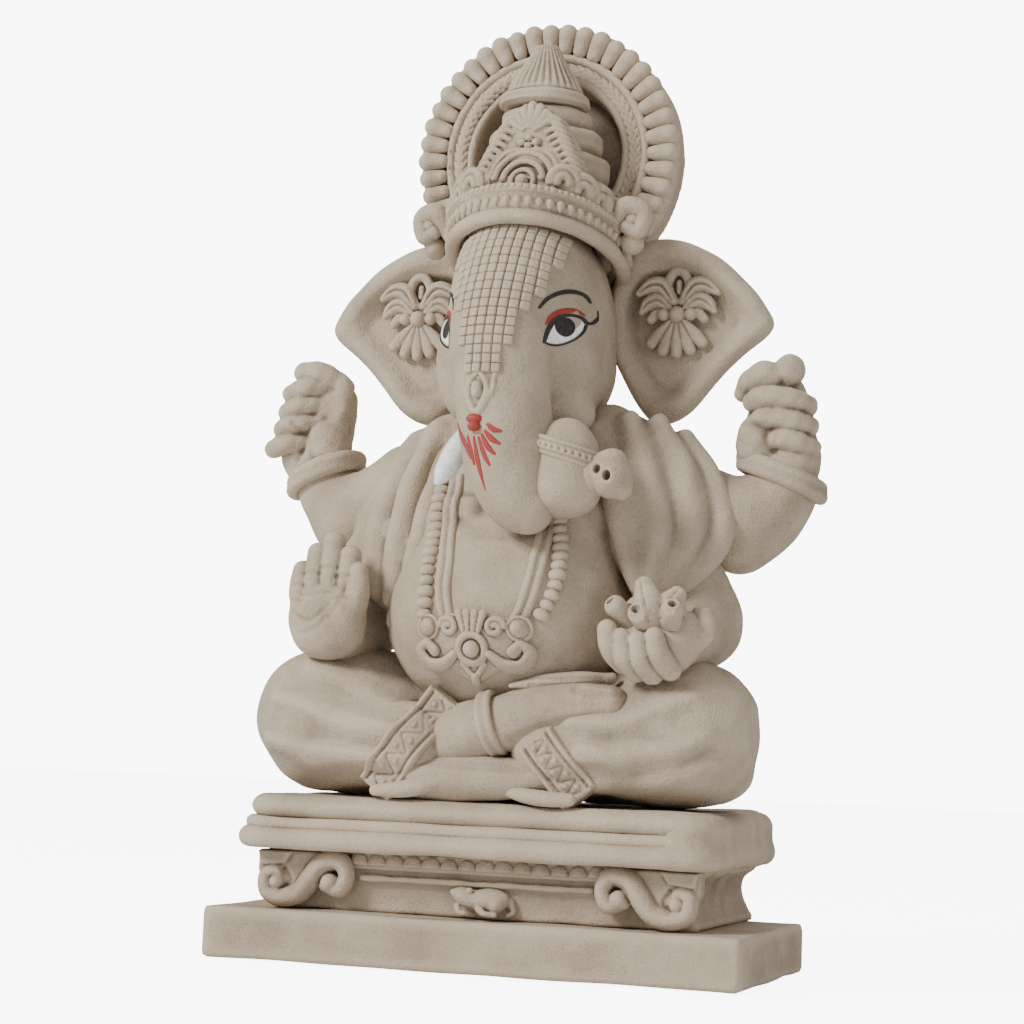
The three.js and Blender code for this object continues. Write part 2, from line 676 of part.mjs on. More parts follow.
function crownPieces() {
  const crestFoot = at(0.5, crest.y - crest.thickness, crownBase - 3);
  const pieces = [
    piece("tiara_band", "clay", (grow) => {
      const [half, inner] = [tiara.width / 2 + grow, tiara.width / 2 - 8];
      const rise = tiara.height + grow;
      const outside = [[half, -grow], [half + 1.5, rise / 2], [half, rise]];
      const profile = [[inner, -grow], ...outside, [inner, rise], [inner, -grow]];
      const axis = new THREE.Vector3(0, tiara.tilt, 1).normalize();
      return ring(profile, at(0.5, tiara.y, tiara.base), axis, 22, [1, tiara.depth / tiara.width]);
    }),
    piece("crown_tiers", "clay", (grow) => {
      const rise = crown.height / crown.steps;
      const rings = Array.from({ length: crown.steps }, (_, i) => {
        const radius = crown.base + ((crown.neck - crown.base) * i) / (crown.steps - 1) + grow;
        const rim = [[radius - 1.5, -grow], [radius, rise / 2], [radius - 1.5, rise + grow]];
        const profile = [[0, -grow], ...rim, [0, rise + grow]];
        return ring(profile, at(0, crown.y, crownBase - 2 + rise * i), UP, 12);
      });
      return union(...rings);
    }),
    piece("crown_finial", "clay", (grow) => {
      const top = finial.height + grow;
      const profile = [[0, -grow], [finial.radius + grow, -grow], [finial.radius + grow, 2.5]];
      profile.push([finial.tip + grow, top - 2], [finial.tip * 0.6, top], [0, top]);
      return ring(profile, at(0, crown.y, crownBase - 2 + crown.height), UP, 12);
    }),
    piece("crown_crest", "clay", (grow) =>
      panel(crestOutline(), crest.thickness, crestFoot, 0.8, grow, crest.lean),
    ),
    piece("halo_disc", "clay", (grow) => {
      const [front, floor, back] = [halo.front + petals.thickness, halo.back - halo.floor + 4, halo.back];
      const rim = halo.radius - 1;
      const profile = [[0, floor - grow], [petals.inner - 4, floor - grow], [petals.inner - 3, front - grow]];
      profile.push([rim + grow, front - grow], [rim + grow, back - 4]);
      profile.push([rim - 4 + grow, back + grow], [0, back + grow]);
      return ring(profile, at(halo.x, 0, halo.centre), BACK, 32);
    }),
    piece("halo_petals", "clay", (grow) => {
      const outline = petalOutline(halo.radius, petals.inner);
      return panel(outline, petals.thickness, at(halo.x, halo.front, halo.centre), 0, grow);
    }),
    piece("halo_rope", "clay", (grow) =>
      ring(wireProfile(ropeRing.radius, ropeRing.wire, grow), at(halo.x, halo.front + 3.5, halo.centre), BACK, 28),
    ),
  ];
  for (const { side, tag } of sides)
    pieces.push(
      piece("crown_curl_" + tag, "clay", (grow) => {
        const half = sideCurl.radius + grow;
        const disc = [[0, -3 - grow], [half - 1, -3 - grow], [half, 0], [half - 1, 3 + grow], [0, 3 + grow]];
        return ring(disc, at(side * sideCurl.x, 4, crownBase + 1), BACK, 14);
      }),
    );
  return pieces;
}

// ---- Necklace ---------------------------------------------------------------------------------------

// The front of the torso at a place on it, measured from the seat top.
function torsoFront(x, z) {
  const surfaces = [belly, chest].map((part) => {
    const across = x / (part.width / 2);
    const up = (z - part.centre) / (part.height / 2);
    return part.y - (part.depth / 2) * Math.sqrt(Math.max(0, 1 - across * across - up * up));
  });
  return Math.min(...surfaces);
}

// A U that hangs on the chest, from the shoulders down to a drop.
function hangingCurve(half, top, bottom, proud) {
  const points = [];
  const count = 10;
  for (let i = 0; i <= count; i += 1) {
    const turn = (Math.PI * i) / count;
    const x = -half * Math.cos(turn);
    const z = top - (top - bottom) * Math.sin(turn) ** 0.7;
    points.push(at(x, torsoFront(x, z) - proud, z));
  }
  return new THREE.CatmullRomCurve3(points);
}

function necklacePieces() {
  const top = chest.centre - 2;
  return [
    piece("necklace_band", "clay", (grow) => {
      const curve = hangingCurve(collar.half, top, top - collar.drop, 0.4);
      return tube(curve, collar.thickness, 18, grow, 5);
    }),
    piece("bead_string", "clay", (grow) => {
      const curve = hangingCurve(bead.width, top + 3, top - bead.drop, 1);
      return tube(curve, bead.radius, 22, grow, 5);
    }),
    piece("pendant", "clay", (grow) => {
      const front = torsoFront(0, pendant.centre) - bead.radius - pendant.thickness;
      const oval = ovalOutline(pendant.width, pendant.height);
      const place = at(pendant.x, front - pendant.proud, pendant.centre);
      return panel(oval, pendant.thickness, place, 1, grow, -pendant.lean);
    }),
  ];
}

// ---- Assembly ---------------------------------------------------------------------------------------

function piece(name, finish, shape) {
  return { name, finish, shape };
}

// Whether two solids' boxes come near each other.
function near(a, b) {
  const [boxA, boxB] = [a.boundingBox(), b.boundingBox()];
  return [0, 1, 2].every((i) => boxA.min[i] <= boxB.max[i] && boxB.min[i] <= boxA.max[i]);
}

// Each piece is cut back from the ones before it, so that a joint is left wherever two of them meet.
function assemble(pieces) {
  const group = new THREE.Group();
  const cutters = [];
  for (const { name, finish, shape } of pieces) {
    let solid = shape(0);
    for (const cutter of cutters) if (near(solid, cutter)) solid = solid.subtract(cutter);
    const mesh = new THREE.Mesh(geometryOf(mainBody(solid).simplify(facet)), finishes[finish]);
    mesh.name = name;
    group.add(mesh);
    cutters.push(shape(joint));
  }
  return group;
}

const idol = assemble([
  ...seatPieces(),
  ...bodyPieces(),
  ...armPieces(),
  ...headPieces(),
  ...crownPieces(),
  ...necklacePieces(),
]);
idol.name = "ganesha_idol";

export default idol;
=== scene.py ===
"""A seated Ganesha idol, hand-modelled in unfired river clay and touched up with poster paint.

Every clay piece is built up as a modeller does it: coils, balls and slabs are pressed on to a
dense field of signed distances (the Clay class), tools cut grooves into it, and the surface is
then taken off as one closed mesh. What repeats round the idol (petals, leaves, beads, teeth and
the cells of the netting) is laid out by Geometry Nodes. Sizes are millimetres measured on the
finished idol: x to the idol's left, y to its back, z above the table.
"""

import logging
import math
from dataclasses import dataclass, field
from enum import Enum
from typing import Callable, Sequence

import bpy
import numpy as np
import openvdb
from mathutils import Matrix, Vector
from mathutils.bvhtree import BVHTree

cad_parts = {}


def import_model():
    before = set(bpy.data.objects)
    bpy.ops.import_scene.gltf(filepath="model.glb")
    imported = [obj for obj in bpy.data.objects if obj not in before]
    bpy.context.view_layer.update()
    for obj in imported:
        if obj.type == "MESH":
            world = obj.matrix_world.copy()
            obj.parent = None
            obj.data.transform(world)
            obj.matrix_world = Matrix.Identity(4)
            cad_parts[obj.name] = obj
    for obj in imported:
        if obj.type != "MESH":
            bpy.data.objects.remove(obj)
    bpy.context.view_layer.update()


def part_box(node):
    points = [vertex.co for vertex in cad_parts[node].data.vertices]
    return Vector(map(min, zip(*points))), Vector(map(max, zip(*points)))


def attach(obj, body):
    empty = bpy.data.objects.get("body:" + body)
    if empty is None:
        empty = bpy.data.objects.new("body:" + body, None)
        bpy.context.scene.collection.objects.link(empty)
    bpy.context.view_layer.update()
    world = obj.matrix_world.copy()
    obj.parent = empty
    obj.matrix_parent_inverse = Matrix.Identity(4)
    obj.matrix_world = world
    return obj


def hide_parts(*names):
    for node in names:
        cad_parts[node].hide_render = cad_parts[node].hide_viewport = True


LOG = logging.getLogger("idol")
MM = 0.001  # metres in a millimetre
FAR = 50.0  # distance given to clay that nothing has been pressed on yet
BODY = "root"  # the idol has no joints, so all of it rides on one body

Point = Sequence[float]
Field = np.ndarray


class Side(Enum):
    """The side of the idol a piece is on, as seen from the front."""

    LEFT = -1
    RIGHT = 1

    @property
    def word(self) -> str:
        """The side's name, as the frame's nodes spell it."""
        return self.name.lower()


class Slot(Enum):
    """The record's material slots."""

    CLAY = "clay"
    WHITE = "white_paint"
    BLACK = "black_paint"
    RED = "red_paint"


# ---------------------------------------------------------------- small helpers


@dataclass(frozen=True)
class Box:
    """The box that a node of the frame fills, in millimetres."""

    low: Field
    high: Field

    @staticmethod
    def of(node: str) -> "Box":
        """Returns the box of the frame's node with this name."""
        low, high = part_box(node)
        return Box(np.array(low) / MM, np.array(high) / MM)

    @property
    def middle(self) -> Field:
        """The middle of the box."""
        return (self.low + self.high) / 2

    @property
    def size(self) -> Field:
        """The box's width, depth and height."""
        return self.high - self.low


def smooth_min(a: Field, b: Field, blend: float) -> Field:
    """Joins two distance fields.

    Args:
        a: The first field.
        b: The second field.
        blend: Width of the fillet where they meet; 0 keeps the seam sharp.

    Returns:
        The field of both together.
    """
    if blend <= 0:
        return np.minimum(a, b)
    share = np.clip(0.5 + 0.5 * (b - a) / blend, 0, 1)
    return b + (a - b) * share - blend * share * (1 - share)


def curve_through(points: Sequence[Point], steps: int = 6, closed: bool = False) -> Field:
    """Draws a smooth curve through points (Catmull-Rom).

    Args:
        points: The points, of any number of coordinates.
        steps: Pieces drawn between two neighbouring points.
        closed: Whether the curve comes back to its first point.

    Returns:
        The curve's points, one per row.
    """
    p = np.array(points, float)
    if closed:
        p = np.vstack([p[-1], p, p[:2]])
    else:
        p = np.vstack([2 * p[0] - p[1], p, 2 * p[-1] - p[-2]])
    t = (np.arange(steps) / steps)[:, None]
    drawn = []
    for a, b, c, d in zip(p[:-3], p[1:-2], p[2:-1], p[3:]):
        drawn.append(0.5 * (2 * b + (c - a) * t + (2 * a - 5 * b + 4 * c - d) * t**2
                            + (3 * b - a - 3 * c + d) * t**3))
    if not closed:
        drawn.append(p[-2][None])
    return np.vstack(drawn)


def arc(centre: Point, radius: float, start: float, end: float, steps: int = 12, squash: float = 1.0) -> list:
    """Draws an arc in the front plane.

    Args:
        centre: Its centre (x, z).
        radius: Its radius.
        start: Its first angle in degrees, from +x towards +z.
        end: Its last angle in degrees.
        steps: Number of pieces.
        squash: Height of the arc over its width.

    Returns:
        The arc's (x, z) points.
    """
    turn = np.radians(np.linspace(start, end, steps + 1))
    return [(centre[0] + radius * math.cos(a), centre[1] + radius * squash * math.sin(a)) for a in turn]


def spiral(centre: Point, outer: float, inner: float, start: float, turns: float, steps: int = 24) -> list:
    """Draws a spiral in the front plane, from its outer end inwards.

    Args:
        centre: The eye of the spiral (x, z).
        outer: Its radius where it starts.
        inner: Its radius where it ends.
        start: The angle it starts at, in degrees.
        turns: Number of turns, positive from +x towards +z.
        steps: Number of pieces.

    Returns:
        The spiral's (x, z) points.
    """
    drawn = []
    for i in range(steps + 1):
        a = math.radians(start + 360 * turns * i / steps)
        r = outer + (inner - outer) * i / steps
        drawn.append((centre[0] + r * math.cos(a), centre[1] + r * math.sin(a)))
    return drawn


def mirrored(points: Sequence[Point], middle: float = 0.0) -> list:
    """Returns the points reflected in the plane x = middle."""
    return [(2 * middle - p[0], *p[1:]) for p in points]


def stroke_distance(x: Field, z: Field, points: Field) -> Field:
    """Measures how far each place is from a line drawn in the front plane.

    Args:
        x: The places' x values.
        z: The places' z values.
        points: The line's (x, z) points, or (x, z, radius) for a line of changing width.

    Returns:
        The distance less the line's own radius, where it has one.
    """
    near = np.full(np.broadcast(x, z).shape, FAR)
    for a, b in zip(points[:-1], points[1:]):
        run = b[:2] - a[:2]
        t = np.clip(((x - a[0]) * run[0] + (z - a[1]) * run[1]) / max(run @ run, 1e-6), 0, 1)
        d = np.hypot(x - a[0] - t * run[0], z - a[1] - t * run[1])
        if len(a) > 2:
            d = d - a[2] - t * (b[2] - a[2])
        near = np.minimum(near, d)
    return near


def outline_distance(x: Field, z: Field, points: Field) -> Field:
    """Measures the signed distance to a closed outline in the front plane.

    Args:
        x: The places' x values.
        z: The places' z values.
        points: The outline's (x, z) corners in order.

    Returns:
        The distance, negative inside.
    """
    ring = np.vstack([points, points[:1]])
    near = stroke_distance(x, z, ring)
    inside = np.zeros(near.shape, bool)
    for a, b in zip(ring[:-1], ring[1:]):
        if a[1] == b[1]:
            continue
        crossing = a[0] + (z - a[1]) * (b[0] - a[0]) / (b[1] - a[1])
        inside ^= ((a[1] > z) != (b[1] > z)) & (x < crossing)
    return np.where(inside, -near, near)


def turned(x: Field, y: Field, z: Field, angles: Point) -> tuple:
    """Turns places about the origin by three angles in degrees (about x, then y, then z), backwards.

    Args:
        x: The x values.
        y: The y values.
        z: The z values.
        angles: The turn of the shape that is measured.

    Returns:
        The places as the turned shape sees them.
    """
    m = np.array(Matrix.Rotation(math.radians(angles[2]), 3, "Z") @ Matrix.Rotation(math.radians(angles[1]), 3, "Y")
                 @ Matrix.Rotation(math.radians(angles[0]), 3, "X")).T
    return tuple(row[0] * x + row[1] * y + row[2] * z for row in m)


def wobble(points: Field, size: float, reach: float) -> Field:
    """Works out how a hand leaves a surface uneven.

    Args:
        points: Places on the surface, one per row.
        size: How far the surface may wander.
        reach: Distance from one rise to the next.

    Returns:
        One offset along the normal for each place.
    """
    total = np.zeros(len(points))
    for k, (a, b, c) in enumerate(((1, 0.4, 0.3), (-0.5, 1, 0.6), (0.3, -0.7, 1), (0.8, 0.9, -0.6))):
        wave = 2 * math.pi * (1 + 0.37 * k) / reach
        total += np.sin(wave * (points @ np.array([a, b, c])) + 1.7 * k)
    return size * total / 4


# ---------------------------------------------------------------- clay


class Clay:
    """A lump of clay held as a field of signed distances on a fine grid."""

    def __init__(self, low: Point, high: Point, grain: float = 0.6) -> None:
        """Clears a space for the piece.

        Args:
            low: Lowest corner of the space.
            high: Highest corner of the space.
            grain: Spacing of the grid.
        """
        self.grain = grain
        self.low = np.array(low, float) - 3 * grain
        count = np.ceil((np.array(high, float) + 3 * grain - self.low) / grain).astype(int) + 1
        self.axes = [self.low[i] + grain * np.arange(count[i]) for i in range(3)]
        self.field = np.full(count, FAR, np.float32)

    def window(self, low: Point, high: Point, margin: float) -> tuple:
        """Finds the part of the grid near a shape.

        Args:
            low: The shape's lowest corner.
            high: The shape's highest corner.
            margin: How far past the shape its distance is needed.

        Returns:
            The slices of the field, and the x, y and z values there, ready to broadcast.
        """
        cuts = []
        for i in range(3):
            first = int((low[i] - margin - self.low[i]) / self.grain)
            last = int((high[i] + margin - self.low[i]) / self.grain) + 2
            cuts.append(slice(max(first, 0), max(last, 0)))
        x, y, z = (self.axes[i][cuts[i]] for i in range(3))
        return tuple(cuts), x[:, None, None], y[None, :, None], z[None, None, :]

    def merge(self, cuts: tuple, shape: Field, blend: float, cut: bool) -> None:
        """Presses a shape on to the clay, or takes it away.

        Args:
            cuts: The slices the shape was measured on.
            shape: The shape's distances.
            blend: Width of the fillet at the join.
            cut: Whether the shape is a hole.
        """
        here = self.field[cuts]
        if not here.size:
            return
        if cut:
            self.field[cuts] = -smooth_min(-here, shape, blend)
        else:
            self.field[cuts] = smooth_min(here, shape, blend)

    def ball(self, centre: Point, radii, turn: Point = (0, 0, 0), blend: float = 0.0, cut: bool = False) -> "Clay":
        """Adds or cuts an egg.

        Args:
            centre: Its centre.
            radii: Its three half sizes, or one radius.
            turn: Its turn in degrees about x, y and z.
            blend: Width of the fillet at the join.
            cut: Whether it is a hole.

        Returns:
            This clay.
        """
        r = np.broadcast_to(np.array(radii, float), 3)
        c = np.array(centre, float)
        reach = r if turn == (0, 0, 0) else np.full(3, r.max())
        cuts, x, y, z = self.window(c - reach, c + reach, blend + 2 * self.grain)
        u, v, w = turned(x - c[0], y - c[1], z - c[2], turn)
        near = np.sqrt((u / r[0]) ** 2 + (v / r[1]) ** 2 + (w / r[2]) ** 2)
        slope = np.sqrt((u / r[0] ** 2) ** 2 + (v / r[1] ** 2) ** 2 + (w / r[2] ** 2) ** 2)
        self.merge(cuts, near * (near - 1) / np.maximum(slope, 1e-6), blend, cut)
        return self

    def coil(self, points: Sequence[Point], radii, blend: float = 0.0, cut: bool = False, steps: int = 5,
             flat: float = 1.0) -> "Clay":
        """Adds or cuts a rolled coil that follows a smooth curve.

        Args:
            points: Points that its middle line passes through.
            radii: Its radius at each point, or one radius.
            blend: Width of the fillet at the join.
            cut: Whether it is a hole.
            steps: Pieces between two points.
            flat: Its depth in y over its width.

        Returns:
            This clay.
        """
        r = np.broadcast_to(np.array(radii, float), len(points))
        line = curve_through(np.column_stack([np.array(points, float), r]), steps)
        line[:, 3] = np.maximum(line[:, 3], 0.05)
        top = line[:, 3].max()
        cuts, x, y, z = self.window(line[:, :3].min(0) - top, line[:, :3].max(0) + top, blend + 2 * self.grain)
        shape = np.full(np.broadcast(x, y, z).shape, FAR, np.float32)
        origin = [a.ravel()[0] if a.size else 0 for a in (x, y, z)]
        for a, b in zip(line[:-1], line[1:]):
            reach = max(a[3], b[3]) + blend + 2 * self.grain
            part = []
            for i in range(3):
                first = int((min(a[i], b[i]) - reach - origin[i]) / self.grain)
                last = int((max(a[i], b[i]) + reach - origin[i]) / self.grain) + 2
                part.append(slice(max(first, 0), max(last, 0)))
            part = tuple(part)
            u, v, w = x[part[0]] - a[0], y[:, part[1]] - a[1], z[:, :, part[2]] - a[2]
            run = b[:3] - a[:3]
            t = np.clip((u * run[0] + v * run[1] + w * run[2]) / max(run @ run, 1e-6), 0, 1)
            d = np.sqrt((u - t * run[0]) ** 2 + ((v - t * run[1]) / flat) ** 2 + (w - t * run[2]) ** 2)
            shape[part] = np.minimum(shape[part], d - a[3] - t * (b[3] - a[3]))
        self.merge(cuts, shape, blend, cut)
        return self

    def block(self, low: Point, high: Point, edge: float = 1.0, blend: float = 0.0, cut: bool = False) -> "Clay":
        """Adds or cuts a block with rounded edges.

        Args:
            low: Its lowest corner.
            high: Its highest corner.
            edge: Radius of its edges.
            blend: Width of the fillet at the join.
            cut: Whether it is a hole.

        Returns:
            This clay.
        """
        low, high = np.array(low, float), np.array(high, float)
        cuts, x, y, z = self.window(low, high, blend + 2 * self.grain)
        c, h = (low + high) / 2, (high - low) / 2 - edge
        q = [np.abs(v - c[i]) - h[i] for i, v in enumerate((x, y, z))]
        outside = np.sqrt(sum(np.maximum(v, 0) ** 2 for v in q))
        inside = np.minimum(np.maximum(np.maximum(q[0], q[1]), q[2]), 0)
        self.merge(cuts, outside + inside - edge, blend, cut)
        return self

    def tile(self, low: Point, high: Point, corner: float, edge: float, blend: float = 0.0) -> "Clay":
        """Adds a lying slab with round corners in plan and a rolled edge.

        Args:
            low: Its lowest corner.
            high: Its highest corner.
            corner: Radius of its corners in plan.
            edge: Radius of its rolled edge.
            blend: Width of the fillet at the join.

        Returns:
            This clay.
        """
        low, high = np.array(low, float), np.array(high, float)
        cuts, x, y, z = self.window(low, high, blend + 2 * self.grain)
        c, h = (low + high) / 2, (high - low) / 2
        u, v = np.abs(x - c[0]) - h[0] + corner, np.abs(y - c[1]) - h[1] + corner
        plan = np.hypot(np.maximum(u, 0), np.maximum(v, 0)) + np.minimum(np.maximum(u, v), 0) - corner + edge
        tall = np.abs(z - c[2]) - h[2] + edge
        shape = np.hypot(np.maximum(plan, 0), np.maximum(tall, 0)) + np.minimum(np.maximum(plan, tall), 0) - edge
        self.merge(cuts, shape, blend, False)
        return self

    def slab(self, outline: Sequence[Point], front, back, edge: float = 1.0, blend: float = 0.0,
             cut: bool = False) -> "Clay":
        """Adds or cuts a slab that stands in the front plane.

        Args:
            outline: Its closed outline (x, z).
            front: The y of its front, or a function of x and z.
            back: The y of its back, or a function of x and z.
            edge: Radius of its edges.
            blend: Width of the fillet at the join.
            cut: Whether it is a hole.

        Returns:
            This clay.
        """
        ring = np.array(outline, float)
        faces = [f if callable(f) else (lambda x, z, y=f: y + 0 * x * z) for f in (front, back)]
        (x0, z0), (x1, z1) = ring.min(0), ring.max(0)
        cuts, x, y, z = self.window((x0, self.axes[1][0], z0), (x1, self.axes[1][-1], z1), blend + 2 * self.grain)
        flat = outline_distance(x[:, :, 0], z[:, 0, :], ring)[:, None, :] + edge
        near, deep = faces[0](x, z), faces[1](x, z)
        depth = np.abs(y - (near + deep) / 2) - (deep - near) / 2 + edge
        shape = np.hypot(np.maximum(flat, 0), np.maximum(depth, 0)) + np.minimum(np.maximum(flat, depth), 0) - edge
        self.merge(cuts, shape, blend, cut)
        return self

    def wheel(self, centre: Point, profile: Sequence[Point], blend: float = 0.0, upright: bool = True) -> "Clay":
        """Adds a piece turned on a wheel.

        Args:
            centre: The axis: (x, y) when it stands upright, (x, z) when it runs from front to back.
            profile: Closed outline of (radius, height along the axis) corners.
            blend: Width of the fillet at the join.
            upright: Whether the axis is upright.

        Returns:
            This clay.
        """
        rim = np.array(profile, float)
        radius, (start, end) = rim[:, 0].max(), (rim[:, 1].min(), rim[:, 1].max())
        across, along = ((0, 1), 2) if upright else ((0, 2), 1)
        low, high = np.zeros(3), np.zeros(3)
        for axis, middle in zip(across, centre):
            low[axis], high[axis] = middle - radius, middle + radius
        low[along], high[along] = start, end
        cuts, *places = self.window(low, high, blend + 2 * self.grain)
        away = np.hypot(places[across[0]] - centre[0], places[across[1]] - centre[1])
        self.merge(cuts, outline_distance(away, places[along], rim), blend, False)
        return self

    def front(self) -> Field:
        """Finds the clay's front: the y where a straight push from the front meets it, for each x and z."""
        inside = self.field < 0
        first = inside.argmax(axis=1)
        ahead = np.maximum(first - 1, 0)[:, None, :]
        here = np.take_along_axis(self.field, first[:, None, :], 1)
        before = np.take_along_axis(self.field, ahead, 1)
        share = before / np.maximum(before - here, 1e-6)
        y = self.axes[1][0] + self.grain * (ahead + share)[:, 0, :]
        return np.where(inside.any(axis=1), y, self.axes[1][-1])

    def trace(self, lines: Sequence[Sequence[Point]], radius: float = 1.0, lift: float = 0.0, blend: float = 0.0,
              cut: bool = False, skin: Field = None, steps: int = 5) -> "Clay":
        """Lays fine coils along the clay's front, or scores grooves into it.

        Args:
            lines: Lines in the front plane; (x, z) or (x, z, radius) points.
            radius: Radius of the coil where the points give none.
            lift: How far the coil's middle stands in front of the surface.
            blend: Width of the fillet at the join.
            cut: Whether the lines are grooves.
            skin: The front to follow; the clay's own when it is None.
            steps: Pieces between two points.

        Returns:
            This clay.
        """
        skin = self.front() if skin is None else skin
        for points in lines:
            line = curve_through(points, steps)
            if line.shape[1] == 2:
                line = np.column_stack([line, np.full(len(line), radius)])
            reach = line[:, 2].max() + abs(lift)
            rows = slice(*[int((v - self.low[0]) / self.grain) for v in (line[:, 0].min() - reach,
                                                                         line[:, 0].max() + reach)])
            cols = slice(*[int((v - self.low[2]) / self.grain) for v in (line[:, 1].min() - reach,
                                                                         line[:, 1].max() + reach)])
            rows, cols = slice(max(rows.start, 0), max(rows.stop, 1)), slice(max(cols.start, 0), max(cols.stop, 1))
            patch = skin[rows, cols]
            if not patch.size:
                continue
            low = (line[:, 0].min() - reach, patch.min() - reach, line[:, 1].min() - reach)
            high = (line[:, 0].max() + reach, patch.max() + reach, line[:, 1].max() + reach)
            cuts, x, y, z = self.window(low, high, blend + 2 * self.grain)
            middle = line[:, 2].mean()
            line[:, 2] -= middle
            away = np.maximum(stroke_distance(x[:, :, 0], z[:, 0, :], line), 0)[:, None, :]
            depth = y - (skin[cuts[0], cuts[2]][:, None, :] - lift)
            self.merge(cuts, np.hypot(away, depth) - middle, blend, cut)
        return self

    def press(self, height: Callable, low: Point, high: Point) -> "Clay":
        """Raises or sinks the surface by a pattern.

        Args:
            height: Gives the rise at each x, y and z.
            low: Lowest corner of the patterned part.
            high: Highest corner of the patterned part.

        Returns:
            This clay.
        """
        cuts, x, y, z = self.window(low, high, 0)
        self.field[cuts] -= height(x, y, z).astype(np.float32)
        return self

    def trim(self, low: Point, high: Point) -> "Clay":
        """Cuts the clay off square outside a box.

        Args:
            low: The box's lowest corner.
            high: The box's highest corner.

        Returns:
            This clay.
        """
        for i in range(3):
            v = self.axes[i].reshape([-1 if k == i else 1 for k in range(3)])
            self.field = np.maximum(self.field, np.maximum(low[i] - v, v - high[i]).astype(np.float32))
        return self

    def mesh(self, name: str, uneven: float = 0.25, reach: float = 26.0) -> bpy.types.Object:
        """Takes the surface off as one closed mesh.

        Args:
            name: Name of the new object.
            uneven: How far a hand leaves the surface uneven.
            reach: Distance from one rise to the next.

        Returns:
            The new object.
        """
        grid = openvdb.FloatGrid(background=float(self.grain * 3))
        limit = 3 * self.grain
        solid = np.clip(self.field, -limit, limit).astype(np.float32)
        for axis in range(3):
            edge = [slice(None)] * 3
            for end in (0, -1):
                edge[axis] = end
                solid[tuple(edge)] = limit
        grid.copyFromArray(np.ascontiguousarray(solid))
        points, quads = grid.convertToQuads(isovalue=0.0)
        points = points.astype(float) * self.grain + self.low
        normals = vertex_normals(points, quads)
        points += normals * wobble(points, uneven, reach)[:, None]
        return new_object(name, points, quads)


def vertex_normals(points: Field, quads: Field) -> Field:
    """Averages the faces' normals at each vertex.

    Args:
        points: The vertices.
        quads: The faces, four vertex numbers per row.

    Returns:
        One unit normal per vertex.
    """
    a, b, c, d = (points[quads[:, i]] for i in range(4))
    face = np.cross(c - a, d - b)
    total = np.zeros_like(points)
    for corner in range(4):
        for axis in range(3):
            total[:, axis] += np.bincount(quads[:, corner], face[:, axis], len(points))
    return total / np.maximum(np.linalg.norm(total, axis=1), 1e-9)[:, None]


def hollowness(points: Field, quads: Field, passes: int = 3) -> Field:
    """Measures how deep in a crease each vertex lies.

    Args:
        points: The vertices.
        quads: The faces.
        passes: How far the measure is spread along the surface.

    Returns:
        One value per vertex: 0.5 on a flat, up to 1 in a crease and down to 0 on a ridge.
    """
    edges = np.vstack([quads[:, [i, (i + 1) % 4]] for i in range(4)])
    start, end = edges[:, 0], edges[:, 1]
    count = np.maximum(np.bincount(start, minlength=len(points)) + np.bincount(end, minlength=len(points)), 1)

    def spread(value: Field) -> Field:
        """Averages a value over each vertex's neighbours."""
        return (np.bincount(start, value[end], len(points)) + np.bincount(end, value[start], len(points))) / count

    normals = vertex_normals(points, quads)
    soft = points.copy()
    for _ in range(passes):
        soft = np.column_stack([spread(soft[:, i]) for i in range(3)])
    depth = ((soft - points) * normals).sum(axis=1)
    span = np.linalg.norm(points[start] - points[end], axis=1).mean()
    value = depth / (span * math.sqrt(passes)) * 2.2
    for _ in range(2):
        value = 0.5 * value + 0.5 * spread(value)
    return np.clip(0.5 + value, 0, 1)


def new_object(name: str, points: Field, quads: Field, crease: bool = True) -> bpy.types.Object:
    """Makes a mesh object from points in millimetres.

    Args:
        name: Name of the object.
        points: The vertices.
        quads: The faces, four vertex numbers per row.
        crease: Whether to store how deep each vertex lies.

    Returns:
        The new object, linked to the scene and smooth shaded.
    """
    mesh = bpy.data.meshes.new(name)
    mesh.vertices.add(len(points))
    mesh.vertices.foreach_set("co", (points * MM).astype(np.float32).ravel())
    mesh.loops.add(quads.size)
    mesh.loops.foreach_set("vertex_index", quads.astype(np.int32).ravel())
    mesh.polygons.add(len(quads))
    mesh.polygons.foreach_set("loop_start", np.arange(0, quads.size, 4, dtype=np.int32))
    mesh.polygons.foreach_set("use_smooth", np.ones(len(quads), bool))
    mesh.update(calc_edges=True)
    mesh.validate()
    if crease:
        layer = mesh.attributes.new("hollow", "FLOAT", "POINT")
        layer.data.foreach_set("value", hollowness(points, quads).astype(np.float32))
    item = bpy.data.objects.new(name, mesh)
    bpy.context.collection.objects.link(item)
    return item


def finish_piece(item: bpy.types.Object, slot: Slot, material: bpy.types.Material, *nodes: str) -> bpy.types.Object:
    """Dresses a piece and ties it to the frame.

    Args:
        item: The piece.
        slot: The record's slot; not used.
        material: Its material.
        nodes: The frame's nodes that it stands for.

    Returns:
        The piece.
    """
    item.data.materials.clear()
    item.data.materials.append(material)
    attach(item, BODY)
    if nodes:
        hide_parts(*nodes)
    LOG.info("%s: %d faces", item.name, len(item.data.polygons))
    return item


# ---------------------------------------------------------------- finishes


def linear(colour: str) -> tuple:
    """Turns an sRGB hex colour to linear light.

    Args:
        colour: Six hex digits.

    Returns:
        Red, green, blue and full alpha.
    """
    values = [int(colour[i:i + 2], 16) / 255 for i in (0, 2, 4)]
    return tuple(v / 12.92 if v <= 0.04045 else ((v + 0.055) / 1.055) ** 2.4 for v in values) + (1.0,)


